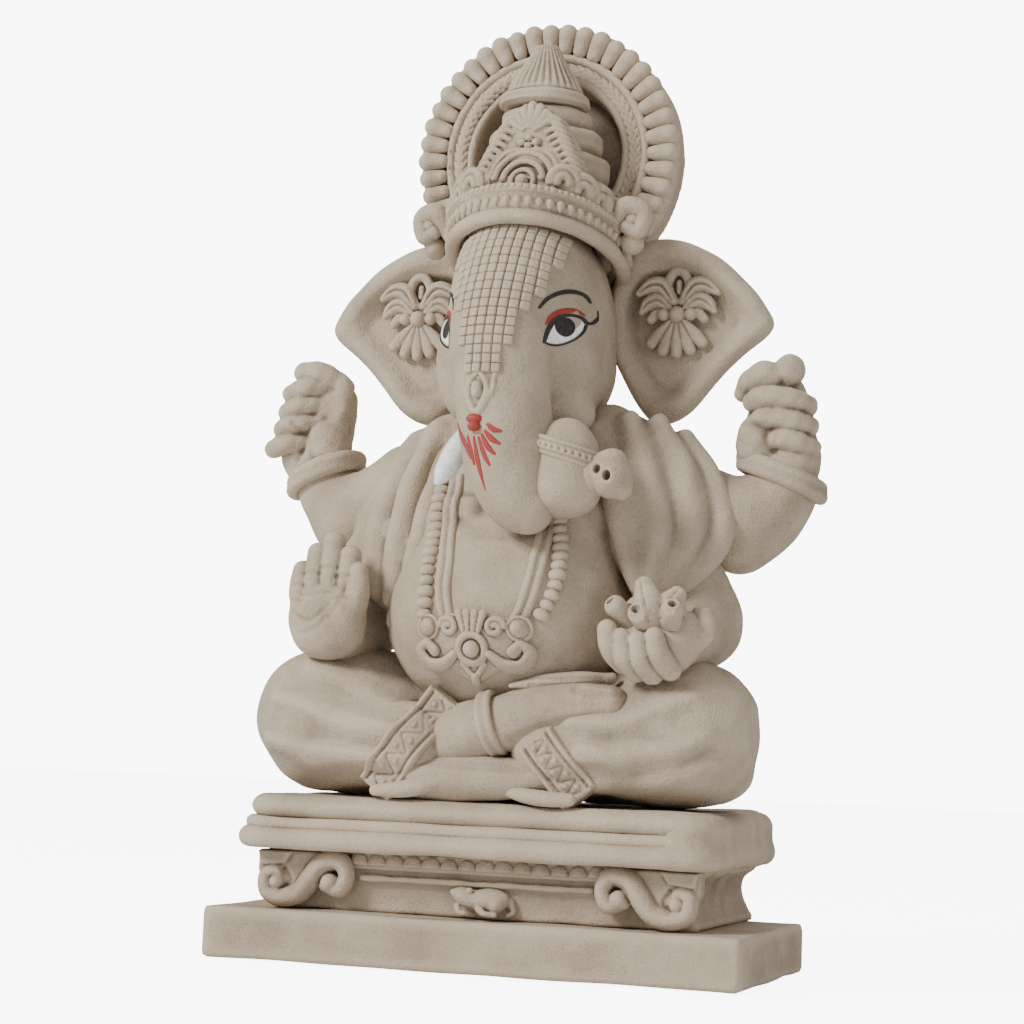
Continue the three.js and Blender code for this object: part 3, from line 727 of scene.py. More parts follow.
def add_node(tree: bpy.types.NodeTree, kind: str, settings: dict = None, **inputs):
    """Adds a node with its settings, values and links.

    Args:
        tree: The node tree.
        kind: The node's type.
        settings: Its properties by name.
        inputs: Values or sockets for its inputs; "i3" names the fourth input, and other names
            have an underscore for each space.

    Returns:
        The new node.
    """
    made = tree.nodes.new(kind)
    for name, value in (settings or {}).items():
        setattr(made, name, value)
    for name, value in inputs.items():
        socket = made.inputs[int(name[1:])] if name[1:].isdigit() else made.inputs[name.replace("_", " ")]
        if isinstance(value, bpy.types.NodeSocket):
            tree.links.new(value, socket)
        else:
            socket.default_value = value
    return made


def ramp(tree: bpy.types.NodeTree, source: bpy.types.NodeSocket, stops: Sequence) -> bpy.types.NodeSocket:
    """Adds a colour ramp.

    Args:
        tree: The node tree.
        source: What drives the ramp.
        stops: (place, linear colour) pairs.

    Returns:
        The ramp's colour socket.
    """
    made = add_node(tree, "ShaderNodeValToRGB", Fac=source)
    elements = made.color_ramp.elements
    while len(elements) < len(stops):
        elements.new(0.5)
    for element, (place, colour) in zip(elements, stops):
        element.position = place
        element.color = colour
    return made.outputs["Color"]


@dataclass(frozen=True)
class RiverClay:
    """Unfired river clay, pressed in a mould, gone over with a wet brush and dried in the sun.

    It is quite matte. Raised edges are painted paler as painted highlight, and creases are painted darker
    and browner as painted shade and dust; fine sand shows as a speckle with a rough grain under it.
    """

    name: str = "sun-dried river clay, wet-brushed"
    dry: str = "b3a48f"
    damp: str = "9c8d79"
    # painted shade and dust, mixed into the creases by the hollow measure
    crease: str = "5e5044"
    # painted highlight, mixed onto raised edges by the hollow measure
    ridge: str = "c0b09a"
    speck: str = "8d7d69"
    roughness: float = 0.9
    mottle: float = 22.0  # mm from one pale patch to the next
    grit: float = 0.7  # mm, sand grains, drawn a little coarse so that they show
    grain_depth: float = 0.34  # mm

    def build(self) -> bpy.types.Material:
        """Builds the material and returns it."""
        material = bpy.data.materials.new(self.name)
        material.use_nodes = True
        tree = material.node_tree
        tree.nodes.clear()
        place = add_node(tree, "ShaderNodeTexCoord").outputs["Object"]
        patches = add_node(tree, "ShaderNodeTexNoise", Vector=place, Scale=1 / (self.mottle * MM), Detail=5.0,
                           Roughness=0.55)
        grains = add_node(tree, "ShaderNodeTexNoise", Vector=place, Scale=1 / (self.grit * MM), Detail=2.0,
                          Roughness=0.6)
        strokes = add_node(tree, "ShaderNodeTexNoise", Vector=place, Scale=1 / (4 * self.grit * MM), Detail=4.0,
                           Roughness=0.6)
        depth = add_node(tree, "ShaderNodeAttribute", {"attribute_name": "hollow"}).outputs["Fac"]
        body = ramp(tree, patches.outputs["Fac"], ((0.34, linear(self.damp)), (0.62, linear(self.dry))))
        sand = ramp(tree, grains.outputs["Fac"], ((0.3, linear(self.speck)), (0.44, (1.0, 1.0, 1.0, 1.0))))
        sanded = add_node(tree, "ShaderNodeMix", {"data_type": "RGBA", "blend_type": "MULTIPLY"}, i0=0.28,
                          i6=body, i7=sand)
        # painted shade: the deeper a vertex lies in a crease, the more of the crease colour it gets
        low = add_node(tree, "ShaderNodeMapRange", Value=depth, i1=0.56, i2=0.92, i3=0.0, i4=0.85)
        # painted highlight: raised edges lightened towards the ridge colour
        high = add_node(tree, "ShaderNodeMapRange", Value=depth, i1=0.46, i2=0.2, i3=0.0, i4=0.6)
        crease_shaded = add_node(tree, "ShaderNodeMix", {"data_type": "RGBA"}, i0=low.outputs[0],
                           i6=sanded.outputs[2], i7=linear(self.crease))
        ridge_highlighted = add_node(tree, "ShaderNodeMix", {"data_type": "RGBA"}, i0=high.outputs[0],
                         i6=crease_shaded.outputs[2], i7=linear(self.ridge))
        brushed = add_node(tree, "ShaderNodeBump", Height=strokes.outputs["Fac"], Strength=0.5,
                           Distance=2.5 * self.grain_depth * MM)
        rough = add_node(tree, "ShaderNodeBump", Height=grains.outputs["Fac"], Strength=0.8,
                         Distance=self.grain_depth * MM, Normal=brushed.outputs[0])
        shader = add_node(tree, "ShaderNodeBsdfPrincipled", Base_Color=ridge_highlighted.outputs[2], Roughness=self.roughness,
                          IOR=1.45, Normal=rough.outputs[0])
        shader.inputs["Specular IOR Level"].default_value = 0.25
        add_node(tree, "ShaderNodeOutputMaterial", Surface=shader.outputs[0])
        return material


@dataclass(frozen=True)
class PosterPaint:
    """Poster paint brushed thinly on dry clay: flat, with the clay's grain showing through it."""

    name: str
    colour: str
    thin: str  # where the brush left less
    roughness: float = 0.6

    def build(self) -> bpy.types.Material:
        """Builds the material and returns it."""
        material = bpy.data.materials.new(self.name)
        material.use_nodes = True
        tree = material.node_tree
        tree.nodes.clear()
        place = add_node(tree, "ShaderNodeTexCoord").outputs["Object"]
        brush = add_node(tree, "ShaderNodeTexNoise", Vector=place, Scale=1 / (1.5 * MM), Detail=3.0)
        tone = ramp(tree, brush.outputs["Fac"], ((0.35, linear(self.thin)), (0.55, linear(self.colour))))
        grain = add_node(tree, "ShaderNodeBump", Height=brush.outputs["Fac"], Strength=0.3, Distance=0.2 * MM)
        shader = add_node(tree, "ShaderNodeBsdfPrincipled", Base_Color=tone, Roughness=self.roughness,
                          Normal=grain.outputs[0])
        add_node(tree, "ShaderNodeOutputMaterial", Surface=shader.outputs[0])
        return material


@dataclass
class Paintbox:
    """The materials, made once."""

    clay: bpy.types.Material = field(default_factory=lambda: RiverClay().build())
    slip: bpy.types.Material = field(default_factory=lambda: RiverClay(
        name="sun-dried river clay under pale slip", dry="bbac97", damp="a79984").build())
    white: bpy.types.Material = field(default_factory=lambda: PosterPaint(
        "white poster paint, brushed", "f1f0ee", "dcdad6").build())
    black: bpy.types.Material = field(default_factory=lambda: PosterPaint(
        "black poster paint, brushed", "161514", "2a2624").build())
    red: bpy.types.Material = field(default_factory=lambda: PosterPaint(
        "red oxide poster paint, brushed", "9c2a22", "8a3a30").build())


# ---------------------------------------------------------------- rows and rings


def flip(item: bpy.types.Object) -> None:
    """Mirrors a piece to the other side and turns its faces out again.

    Args:
        item: The piece, moved in its mesh.
    """
    item.data.transform(Matrix.Scale(-1, 4, (1, 0, 0)))
    item.data.flip_normals()


def face_outward(item: bpy.types.Object) -> None:
    """Turns a closed mesh's faces out, where it was drawn the other way round."""
    mesh = item.data
    mesh.calc_loop_triangles()
    total = 0.0
    for triangle in mesh.loop_triangles:
        a, b, c = (mesh.vertices[v].co for v in triangle.vertices)
        total += a.dot(b.cross(c))
    if total < 0:
        mesh.flip_normals()


def path_object(name: str, points: Sequence[Point], out: Point = None, centre: Point = None,
                closed: bool = False) -> bpy.types.Object:
    """Makes a line of edges that a row of pieces follows, each point knowing which way is out.

    Args:
        name: Name of the object.
        points: The line's points in millimetres.
        out: The way out, the same all along.
        centre: The middle of a ring; out is then away from it.
        closed: Whether the line comes back to its start.

    Returns:
        The line's object.
    """
    place = np.array(points, float)
    edges = [(i, i + 1) for i in range(len(place) - 1)] + ([(len(place) - 1, 0)] if closed else [])
    mesh = bpy.data.meshes.new(name)
    mesh.from_pydata((place * MM).tolist(), edges, [])
    ways = np.tile(np.array(out, float), (len(place), 1)) if centre is None else place - np.array(centre, float)
    ways /= np.linalg.norm(ways, axis=1)[:, None]
    layer = mesh.attributes.new("out", "FLOAT_VECTOR", "POINT")
    layer.data.foreach_set("vector", ways.astype(np.float32).ravel())
    item = bpy.data.objects.new(name, mesh)
    bpy.context.collection.objects.link(item)
    return item


def string_tree() -> bpy.types.NodeTree:
    """Builds the Geometry Nodes tree that strings copies of a piece along a line.

    Each copy's x axis follows the line and its z axis points out.

    Returns:
        The tree, with the inputs Piece, Count, Unevenness and Seed.
    """
    tree = bpy.data.node_groups.new("string pieces along a line", "GeometryNodeTree")
    tree.interface.new_socket("Geometry", in_out="INPUT", socket_type="NodeSocketGeometry")
    for name, kind in (("Piece", "NodeSocketObject"), ("Count", "NodeSocketInt"),
                       ("Unevenness", "NodeSocketFloat"), ("Seed", "NodeSocketInt"),
                       ("Material", "NodeSocketMaterial")):
        tree.interface.new_socket(name, in_out="INPUT", socket_type=kind)
    tree.interface.new_socket("Geometry", in_out="OUTPUT", socket_type="NodeSocketGeometry")
    source = add_node(tree, "NodeGroupInput").outputs
    line = add_node(tree, "GeometryNodeMeshToCurve", Mesh=source["Geometry"])
    spaced = add_node(tree, "GeometryNodeResampleCurve", Curve=line.outputs[0], Count=source["Count"])
    along = add_node(tree, "GeometryNodeInputTangent")
    out = add_node(tree, "GeometryNodeInputNamedAttribute", {"data_type": "FLOAT_VECTOR"}, Name="out")
    upright = add_node(tree, "FunctionNodeAlignRotationToVector", {"axis": "Z"}, Vector=out.outputs[0])
    facing = add_node(tree, "FunctionNodeAlignRotationToVector", {"axis": "X", "pivot_axis": "Z"},
                      Rotation=upright.outputs[0], Vector=along.outputs[0])
    least = add_node(tree, "ShaderNodeMath", {"operation": "SUBTRACT"}, i0=1.0, i1=source["Unevenness"])
    most = add_node(tree, "ShaderNodeMath", {"operation": "ADD"}, i0=1.0, i1=source["Unevenness"])
    size = add_node(tree, "FunctionNodeRandomValue", {"data_type": "FLOAT"}, i2=least.outputs[0],
                    i3=most.outputs[0], Seed=source["Seed"])
    piece = add_node(tree, "GeometryNodeObjectInfo", {"transform_space": "ORIGINAL"}, Object=source["Piece"])
    placed = add_node(tree, "GeometryNodeInstanceOnPoints", Points=spaced.outputs[0],
                      Instance=piece.outputs["Geometry"], Rotation=facing.outputs[0], Scale=size.outputs[1])
    real = add_node(tree, "GeometryNodeRealizeInstances", Geometry=placed.outputs[0])
    smooth = add_node(tree, "GeometryNodeSetShadeSmooth", Geometry=real.outputs[0])
    dressed = add_node(tree, "GeometryNodeSetMaterial", Geometry=smooth.outputs[0], Material=source["Material"])
    add_node(tree, "NodeGroupOutput", Geometry=dressed.outputs[0])
    return tree


def run_tree(tree: bpy.types.NodeTree, item: bpy.types.Object, name: str, **values) -> bpy.types.Object:
    """Runs a Geometry Nodes tree on an object and keeps its result as a plain mesh.

    Args:
        tree: The tree.
        item: The object it starts from, which is removed afterwards.
        name: Name of the new object.
        values: The tree's inputs by name.

    Returns:
        The new object.
    """
    modifier = item.modifiers.new("layout", "NODES")
    modifier.node_group = tree
    for socket in tree.interface.items_tree:
        if socket.item_type == "SOCKET" and socket.in_out == "INPUT" and socket.name in values:
            modifier[socket.identifier] = values[socket.name]
    bpy.context.view_layer.update()
    graph = bpy.context.evaluated_depsgraph_get()
    mesh = bpy.data.meshes.new_from_object(item.evaluated_get(graph))
    for layer in [a for a in mesh.attributes if a.name == "out"]:
        mesh.attributes.remove(layer)
    made = bpy.data.objects.new(name, mesh)
    bpy.context.collection.objects.link(made)
    bpy.data.objects.remove(item)
    return made


def string_along(name: str, path: bpy.types.Object, piece: bpy.types.Object, count: int, uneven: float = 0.06,
                 seed: int = 3) -> bpy.types.Object:
    """Strings copies of a piece along a line.

    Args:
        name: Name of the new object.
        path: The line.
        piece: The piece, centred on the origin.
        count: Number of copies.
        uneven: How much their sizes differ.
        seed: Seed for their sizes.

    Returns:
        The row as one mesh.
    """
    row = run_tree(string_tree(), path, name, Piece=piece, Count=count, Unevenness=uneven, Seed=seed)
    bpy.data.objects.remove(piece)
    return row


def template(name: str, points: Field, quads: Field) -> bpy.types.Object:
    """Makes a small piece to be copied, from points in millimetres, creases and all."""
    return new_object(name, points, quads)


def dome_shape(half: float, depth: float, height: float) -> bpy.types.Object:
    """Shapes one half-round dome.

    Args:
        half: Half its width.
        depth: How far it stands out.
        height: Its height.

    Returns:
        The dome, standing on the origin.
    """
    clay = Clay((-half, -depth, 0), (half, depth, height), 0.3)
    clay.ball((0, 0, 0), (half, depth, height))
    clay.trim((-half, -depth, 0), (half, depth, height))
    return small_mesh(clay, "dome")


def small_mesh(clay: Clay, name: str) -> bpy.types.Object:
    """Takes a small piece off the clay, smooth and even."""
    return clay.mesh(name, 0.0)


@dataclass
class Skin:
    """The front of a piece as a height map, for what is laid on it later."""

    x: Field
    z: Field
    y: Field

    @staticmethod
    def of(clay: Clay) -> "Skin":
        """Returns the front of this clay."""
        return Skin(clay.axes[0], clay.axes[2], clay.front())

    def at(self, x: Field, z: Field) -> Field:
        """Reads the front between the grid's points.

        Args:
            x: The x values.
            z: The z values, of the same shape.

        Returns:
            The y of the front at each place.
        """
        step = self.x[1] - self.x[0]
        u = np.clip((x - self.x[0]) / step, 0, len(self.x) - 1.001)
        v = np.clip((z - self.z[0]) / step, 0, len(self.z) - 1.001)
        i, j = u.astype(int), v.astype(int)
        a, b = u - i, v - j
        return (self.y[i, j] * (1 - a) * (1 - b) + self.y[i + 1, j] * a * (1 - b)
                + self.y[i, j + 1] * (1 - a) * b + self.y[i + 1, j + 1] * a * b)

    def over(self, clay: Clay) -> Field:
        """Returns this front on another clay's grid."""
        x, z = np.meshgrid(clay.axes[0], clay.axes[2], indexing="ij")
        return self.at(x, z)


def add_hollow(item: bpy.types.Object) -> None:
    """Stores how deep each vertex lies on a mesh of quads."""
    mesh = item.data
    points = np.zeros(len(mesh.vertices) * 3)
    mesh.vertices.foreach_get("co", points)
    corners = np.zeros(len(mesh.loops), np.int32)
    mesh.loops.foreach_get("vertex_index", corners)
    points = points.reshape(-1, 3) / MM
    layer = mesh.attributes.get("hollow") or mesh.attributes.new("hollow", "FLOAT", "POINT")
    layer.data.foreach_set("value", hollowness(points, corners.reshape(-1, 4), 2).astype(np.float32))


def pillow_tree() -> bpy.types.NodeTree:
    """Builds the Geometry Nodes tree that raises each face of a sheet into a closed pillow.

    Returns:
        The tree, with the inputs Rise, Gap (how far a cell shrinks) and Top (how far its top does).
    """
    tree = bpy.data.node_groups.new("pillow each face", "GeometryNodeTree")
    tree.interface.new_socket("Geometry", in_out="INPUT", socket_type="NodeSocketGeometry")
    for name in ("Rise", "Gap", "Top"):
        tree.interface.new_socket(name, in_out="INPUT", socket_type="NodeSocketFloat")
    tree.interface.new_socket("Material", in_out="INPUT", socket_type="NodeSocketMaterial")
    tree.interface.new_socket("Geometry", in_out="OUTPUT", socket_type="NodeSocketGeometry")
    source = add_node(tree, "NodeGroupInput").outputs
    apart = add_node(tree, "GeometryNodeScaleElements", Geometry=source["Geometry"], Scale=source["Gap"])
    raised = add_node(tree, "GeometryNodeExtrudeMesh", Mesh=apart.outputs[0], Offset_Scale=source["Rise"])
    raised.inputs["Individual"].default_value = True
    under = add_node(tree, "GeometryNodeFlipFaces", Mesh=apart.outputs[0])
    narrowed = add_node(tree, "GeometryNodeScaleElements", Geometry=raised.outputs["Mesh"],
                        Selection=raised.outputs["Top"], Scale=source["Top"])
    both = add_node(tree, "GeometryNodeJoinGeometry")
    tree.links.new(narrowed.outputs[0], both.inputs[0])
    tree.links.new(under.outputs[0], both.inputs[0])
    closed = add_node(tree, "GeometryNodeMergeByDistance", Geometry=both.outputs[0], Distance=0.01 * MM)
    soft = add_node(tree, "GeometryNodeSubdivisionSurface", Mesh=closed.outputs[0], Level=2, Edge_Crease=0.45)
    smooth = add_node(tree, "GeometryNodeSetShadeSmooth", Geometry=soft.outputs[0])
    real = add_node(tree, "GeometryNodeRealizeInstances", Geometry=smooth.outputs[0])
    dressed = add_node(tree, "GeometryNodeSetMaterial", Geometry=real.outputs[0], Material=source["Material"])
    add_node(tree, "NodeGroupOutput", Geometry=dressed.outputs[0])
    return tree


# ---------------------------------------------------------------- seat and plinth


@dataclass
class Pedestal:
    """The plinth, the low bench with its scroll legs, and the three mouldings of the seat."""

    paint: Paintbox
    grain: float = 1.4
    fine: float = 0.45
    soft_edge: float = 1.4
    corner: float = 10.0  # of the seat's rolls, in plan
    domes: int = 14  # half-round domes of the frieze

    def plinth(self) -> None:
        """Builds the slab that the idol stands on."""
        box = Box.of("plinth")
        clay = Clay(box.low, box.high, self.grain)
        clay.block(box.low + 0.3, box.high - 0.3, self.soft_edge)
        item = clay.mesh("plinth_slab", uneven=0.3, reach=60)
        finish_piece(item, Slot.CLAY, self.paint.clay, "plinth")

    def bench(self) -> None:
        """Builds the bench: a waisted block that flares to the plinth."""
        box = Box.of("bench_body")
        (x1, _, z0), top = (box.high[0], 0, box.low[2]), box.high[2]
        waist = 4.5
        side = curve_through([(x1 + 2, z0 - 2), (x1 - 1.5, z0 + 1.2), (x1 - waist, z0 + 8), (x1 - waist + 0.5, z0 + 13),
                              (x1 - 0.5, top - 2), (x1 + 1, top + 1)], 6)
        outline = np.vstack([side, np.column_stack([-side[::-1, 0], side[::-1, 1]])])
        clay = Clay(box.low - (0, 1, 1), box.high, self.grain)
        clay.slab(outline, box.low[1], box.high[1], 1.6)
        clay.block(box.low + (4, -0.5, -1), (box.high[0] - 4, box.low[1] + 3, z0 + 1.6), 0.8, blend=2)
        clay.trim(box.low - (0, 0, 0.6), box.high + (0, 0, 0.6))
        finish_piece(clay.mesh("bench_block", 0.4), Slot.CLAY, self.paint.clay, "bench_body")

    def scroll(self, side: Side) -> None:
        """Builds one scroll leg: a band that rolls up at its foot and into a ball at its inner end.

        Args:
            side: The side of the bench it is on.
        """
        box = Box.of("bench_scroll_right")
        y0, y1 = box.low[1], box.high[1] + 1.5
        mid = y0 + 4.6
        clay = Clay(box.low - (0, 0, 1), box.high + (1, 1.5, 1), self.fine)
        clay.slab([(48, 33), (69.4, 33.2), (69.4, 27), (66, 18), (56, 20), (50, 27)], y0 + 4.2, y1, 1.2)
        band = [(46.5, mid, 23.6), (42.2, mid, 22.4), (40.2, mid, 26.6), (42.4, mid, 30.6), (47.6, mid, 30.0),
                (51.4, mid, 25.4), (55.4, mid, 20.6), (60.8, mid, 19.2), (65.6, mid, 20.6), (66.4, mid, 25.4),
                (63.2, mid, 26.8), (61.6, mid, 24.4)]
        clay.coil(band, (2.4, 2.5, 2.4, 2.8, 3.3, 3.3, 3.2, 3.0, 2.6, 2.2, 1.8, 1.4), blend=0.5, flat=1.35)
        clay.ball((45.4, mid - 0.6, 24.2), (2.9, 3.8, 2.9), blend=0.4)
        clay.ball((62.6, mid + 0.2, 23.6), (2.4, 3.6, 2.4), blend=0.3)
        clay.trace([[(44.2, 28.2), (47.4, 27.2), (48.6, 24.0)], [(60.4, 27.6), (58.6, 24.2), (60.8, 21.6)]], 0.8,
                   cut=True, blend=0.5)
        clay.slab([(57.5, 33), (69, 33), (68, 28.6), (60, 29.4)], y0 + 2.6, y1, 0.8, blend=0.6)
        clay.trim(box.low - (0, 0, 0.2), box.high + (0.4, 1.4, 0.2))
        item = clay.mesh(f"bench_leg_{side.word}", 0.15)
        if side is Side.LEFT:
            flip(item)
        finish_piece(item, Slot.CLAY, self.paint.clay, f"bench_scroll_{side.word}")

    def frieze(self) -> None:
        """Lays a row of half-round domes along a thin strip, over a thin rail."""
        box, rail = Box.of("bench_frieze"), Box.of("bench_rail")
        strip = Clay(box.low - (1, 0, 1), box.high + (1, 1.5, 0.5), self.fine)
        strip.block((box.low[0], box.low[1] + 1.0, box.low[2] - 0.4), (box.high[0], box.high[1] + 1.2, box.high[2]),
                    0.4)
        strip.coil([(box.low[0] + 1, box.low[1] + 1.3, box.low[2] + 0.5), (box.high[0] - 1, box.low[1] + 1.3,
                                                                      box.low[2] + 0.5)], 0.7, steps=1, blend=0.5)
        finish_piece(strip.mesh("frieze_strip", 0.1), Slot.CLAY, self.paint.clay, "bench_frieze")
        y = box.low[1] + 0.9
        path = path_object("frieze_line", [(box.low[0] + 3, y, box.low[2] + 0.9),
                                           (box.high[0] - 3, y, box.low[2] + 0.9)], (0, 0, 1))
        width = (box.size[0] - 6) / (self.domes - 1)
        domes = string_along("frieze_domes", path, dome_shape(width * 0.52, 1.9, 3.3), self.domes, 0.1)
        finish_piece(domes, Slot.CLAY, self.paint.clay)
        bar = Clay(rail.low - 1, rail.high + (1, 1.5, 1), self.fine)
        bar.block(rail.low, rail.high + (0, 1.2, 0), 0.8)
        finish_piece(bar.mesh("rail_bar", 0.25, 14), Slot.CLAY, self.paint.clay, "bench_rail")

    def mouse(self) -> None:
        """Models the small mouse that crouches against the bench, its nose to the left."""
        box = Box.of("mouse")
        clay = Clay(box.low - 1, box.high + (1, 2, 1), 0.3)
        y = box.low[1] + 4.4
        clay.ball((4.6, y + 0.4, 21.6), (6.6, 4.0, 3.6), (0, -4, 0))
        clay.ball((-2.2, y - 0.2, 22.2), (4.3, 3.2, 2.8), (0, 24, 0), blend=1.6)
        clay.coil([(-3.4, y - 0.6, 22.6), (-6.4, y - 0.6, 23.6)], (2.1, 0.9), blend=1)
        clay.ball((-0.6, y - 2.4, 24.4), (1.1, 0.7, 0.9), blend=0.4)
        clay.coil([(-4.6, y - 1.6, 19.6), (-3.4, y - 2.6, 17.8), (-1.6, y - 2.8, 17.6)], (0.9, 0.8, 0.7), blend=0.4)
        clay.coil([(2.6, y - 2.4, 19.2), (4.4, y - 3.2, 17.9), (7.6, y - 2.8, 17.6)], (1.3, 1.0, 0.9), blend=0.4)
        clay.ball((7.4, y - 1.0, 20.6), (2.6, 2.8, 2.6), blend=0.6)
        clay.coil([(11, y + 1.4, 21.4), (12.0, y + 1.4, 18.6), (10.6, y + 0.6, 17.4)], (1.2, 0.9, 0.7), blend=0.8)
        clay.trim(box.low - 0.3, box.high + (0.3, 1.5, 0.3))
        finish_piece(clay.mesh("mouse_figure", 0.1), Slot.CLAY, self.paint.clay, "mouse")

    def mouldings(self) -> None:
        """Builds the three rolls of the seat, which run together into one face at the right end."""
        rolls = (("seat_lower_moulding", "seat_foot_moulding", -0.2, 0.7, 3.1),
                 ("seat_middle_moulding", "seat_middle_roll", -0.5, -0.7, 1.9),
                 ("seat_cushion", "seat_top_slab", -1.7, 0.2, 4.4))
        for node, name, sink, rise, edge in rolls:
            box = Box.of(node)
            low, high = box.low + (0, 0, sink), box.high + (0, 0, rise)
            clay = Clay(low, high + (1, 0, 12), 1.0)
            clay.tile(low, high, self.corner, edge)
            if node == "seat_lower_moulding":
                clay.tile((56, low[1] + 1.6, low[2] + 0.4), (high[0] - 0.6, high[1] - 0.4, Box.of("seat_cushion").high[2]
                                                             - 0.4), self.corner, 4.5, blend=3)
            finish_piece(clay.mesh(name, 0.35, 45), Slot.CLAY, self.paint.clay, node)

    def build(self) -> None:
        """Builds the whole pedestal."""
        self.plinth()
        self.bench()
        for side in Side:
            self.scroll(side)
        self.frieze()
        self.mouse()
        self.mouldings()


# ---------------------------------------------------------------- body and legs


@dataclass
class Body:
    """The seated body: chest and belly, folded legs under a dhoti, feet and anklet."""

    paint: Paintbox
    grain: float = 1.16
    fine: float = 0.54
    belly: tuple = (38.5, 33.5, 33.0)
    chest: tuple = (37.0, 26.5, 32.0)
    skin: Skin = None
    leg_skins: dict = field(default_factory=dict)

    def torso(self) -> None:
        """Models the chest and the round belly, with the folds where one rests on the other."""
        box = Box.of("torso")
        clay = Clay(box.low - 1, box.high + 1, self.grain)
        clay.ball((0, -8.5, 106.5), self.belly)
        clay.ball((0, 4, 142), self.chest, blend=16)
        clay.ball((0, 2, 64), (37, 30, 15), blend=10)
        clay.ball((0, 8, 160), (24, 21, 14), blend=8)
        for side in Side:
            s = side.value
            clay.ball((s * 36, 7, 146), (13, 16, 16), blend=6)
            clay.ball((s * 15, -13.5, 136), (13, 9, 8.5), blend=5)
        skin = clay.front()
        clay.trace([[(-12, 135), (-3, 131.5), (8, 131), (16, 133.5)]], 1.5, 0.7, blend=2.2, cut=True, skin=skin)
        clay.trace([[(20, 146), (26, 139), (31, 133)], [(24, 150), (29.5, 145), (33, 139)]], 1.1, 0.3, blend=2.2,
                   cut=True, skin=skin)
        clay.trim(box.low, box.high)
        self.skin = Skin.of(clay)
        finish_piece(clay.mesh("chest_and_belly", 0.4), Slot.CLAY, self.paint.clay, "torso")

    def leg(self, side: Side) -> None:
        """Models a folded leg: the knee lies to the side, and the cloth runs from it to the ankles.

        Args:
            side: The leg's side.
        """
        box = Box.of(f"leg_{side.word}")
        clay = Clay(box.low - 1, box.high + 1, self.grain)
        s = side.value
        clay.coil([(s * 30, 4, 73), (s * 48, -6, 76), (s * 59, -12.5, 74.5)], (19, 20.5, 19.5))
        clay.coil([(s * 59, -13, 73.5), (s * 42, -24, 68.5), (s * 22, -28, 66)], (18.2, 14.2, 13.2), blend=9)
        reach = {Side.LEFT: 49, Side.RIGHT: 56}[side]
        clay.ball((s * reach, -8, 60.5), (20, 22, 9.5), blend=7)
        clay.ball((s * 34, 4, 60), (28, 18, 9), blend=8)
        skin = clay.front()
        if side is Side.LEFT:
            folds = [[(-20, 80, 1.0), (-32, 83, 2.4), (-46, 88, 2.6), (-58, 90, 1.2)],
                     [(-26, 71, 1.2), (-38, 73, 2.8), (-52, 77, 3.0), (-66, 80, 1.6)],
                     [(-29, 62, 1.0), (-42, 62, 2.6), (-56, 63, 2.8), (-69, 67, 1.4)]]
        else:
            folds = [[(30, 76, 1.4), (42, 77, 2.8), (54, 81, 2.6), (64, 84, 1.2)],
                     [(34, 66, 1.4), (46, 65, 3.0), (58, 67, 3.0), (69, 72, 1.6)],
                     [(38, 56, 1.0), (50, 56, 2.4), (62, 59, 2.4), (70, 64, 1.2)]]
        clay.trace(folds, 2.6, 0.4, blend=5.0, skin=skin)
        clay.trim((box.low[0], box.low[1] - 3, 49.4), box.high + (0, 0, 1))
        self.leg_skins[side] = Skin.of(clay)
        name = f"dhoti_leg_{side.word}"
        finish_piece(clay.mesh(name, 0.5, 30), Slot.CLAY, self.paint.clay, f"leg_{side.word}")

    def feet(self) -> None:
        """Models the foot that lies on top, with its anklet, and the one tucked under it."""
        box = Box.of("foot_over")
        clay = Clay(box.low - (14, 4, 7), box.high + (3, 2, 2), self.fine)
        clay.coil([(-15, -25, 66), (-7, -30, 69.5), (4, -32.4, 73), (14, -32.5, 75.5)], (10, 9.6, 8.8, 8.4))
        clay.coil([(13, -32.5, 75.5), (26, -32.8, 78.6), (37.5, -32, 80.4)], (8.6, 7.8, 5.8), blend=3)
        clay.block((30, -38.6, 75.6), (43.6, -26, 85.2), 3.2, blend=3)
        clay.trace([[(12, 69.2), (22, 73), (33, 76.2), (43, 77.6)]], 0.7, 0.1, blend=2.2, cut=True)
        clay.trace([[(30, 84.6), (37, 83.4), (44, 83.6)]], 0.6, 0.1, blend=1.6, cut=True)
        clay.trim(box.low - (14, 3, 6), box.high + (3, 2, 3))
        finish_piece(clay.mesh("foot_on_top", 0.35), Slot.CLAY, self.paint.clay, "foot_over")
        low = Box.of("foot_under")
        clay = Clay(low.low - (3, 3, 1), low.high + (3, 3, 2), self.fine)
        clay.coil([(-24, -33, 57), (-8, -35, 57), (8, -35, 57.6), (24, -33, 59)], (6.2, 6.8, 6.4, 5.6))
        clay.trace([[(-22, 62.4), (-6, 61.4), (12, 61), (24, 62)]], 1.0, 0.2, blend=1.6, cut=True)
        clay.trim((low.low[0] - 3, low.low[1] - 3, low.low[2] - 1.2), low.high + (3, 3, 1))
        finish_piece(clay.mesh("foot_below", 0.3), Slot.CLAY, self.paint.clay, "foot_under")
        ring = Box.of("anklet")
        clay = Clay(ring.low - (2, 3, 2), ring.high + (2, 3, 2), 0.35)
        middle = np.array((4.2, -33.2, 73.8))
        for shift, wire in ((-1.3, 1.2), (0, 0.95), (1.3, 1.2)):
            points = []
            for i in range(17):
                turn = 2 * math.pi * i / 16
                across = np.array((-0.27, 0, 0.96)) * math.sin(turn) * 9.0 + np.array((0, 1, 0)) * math.cos(turn) * 9.2
                points.append(tuple(middle + across + np.array((0.96, 0, 0.27)) * shift))
            clay.coil(points, wire, blend=0.6, steps=2)
        finish_piece(clay.mesh("anklet_rings", 0.15), Slot.CLAY, self.paint.clay, "anklet")

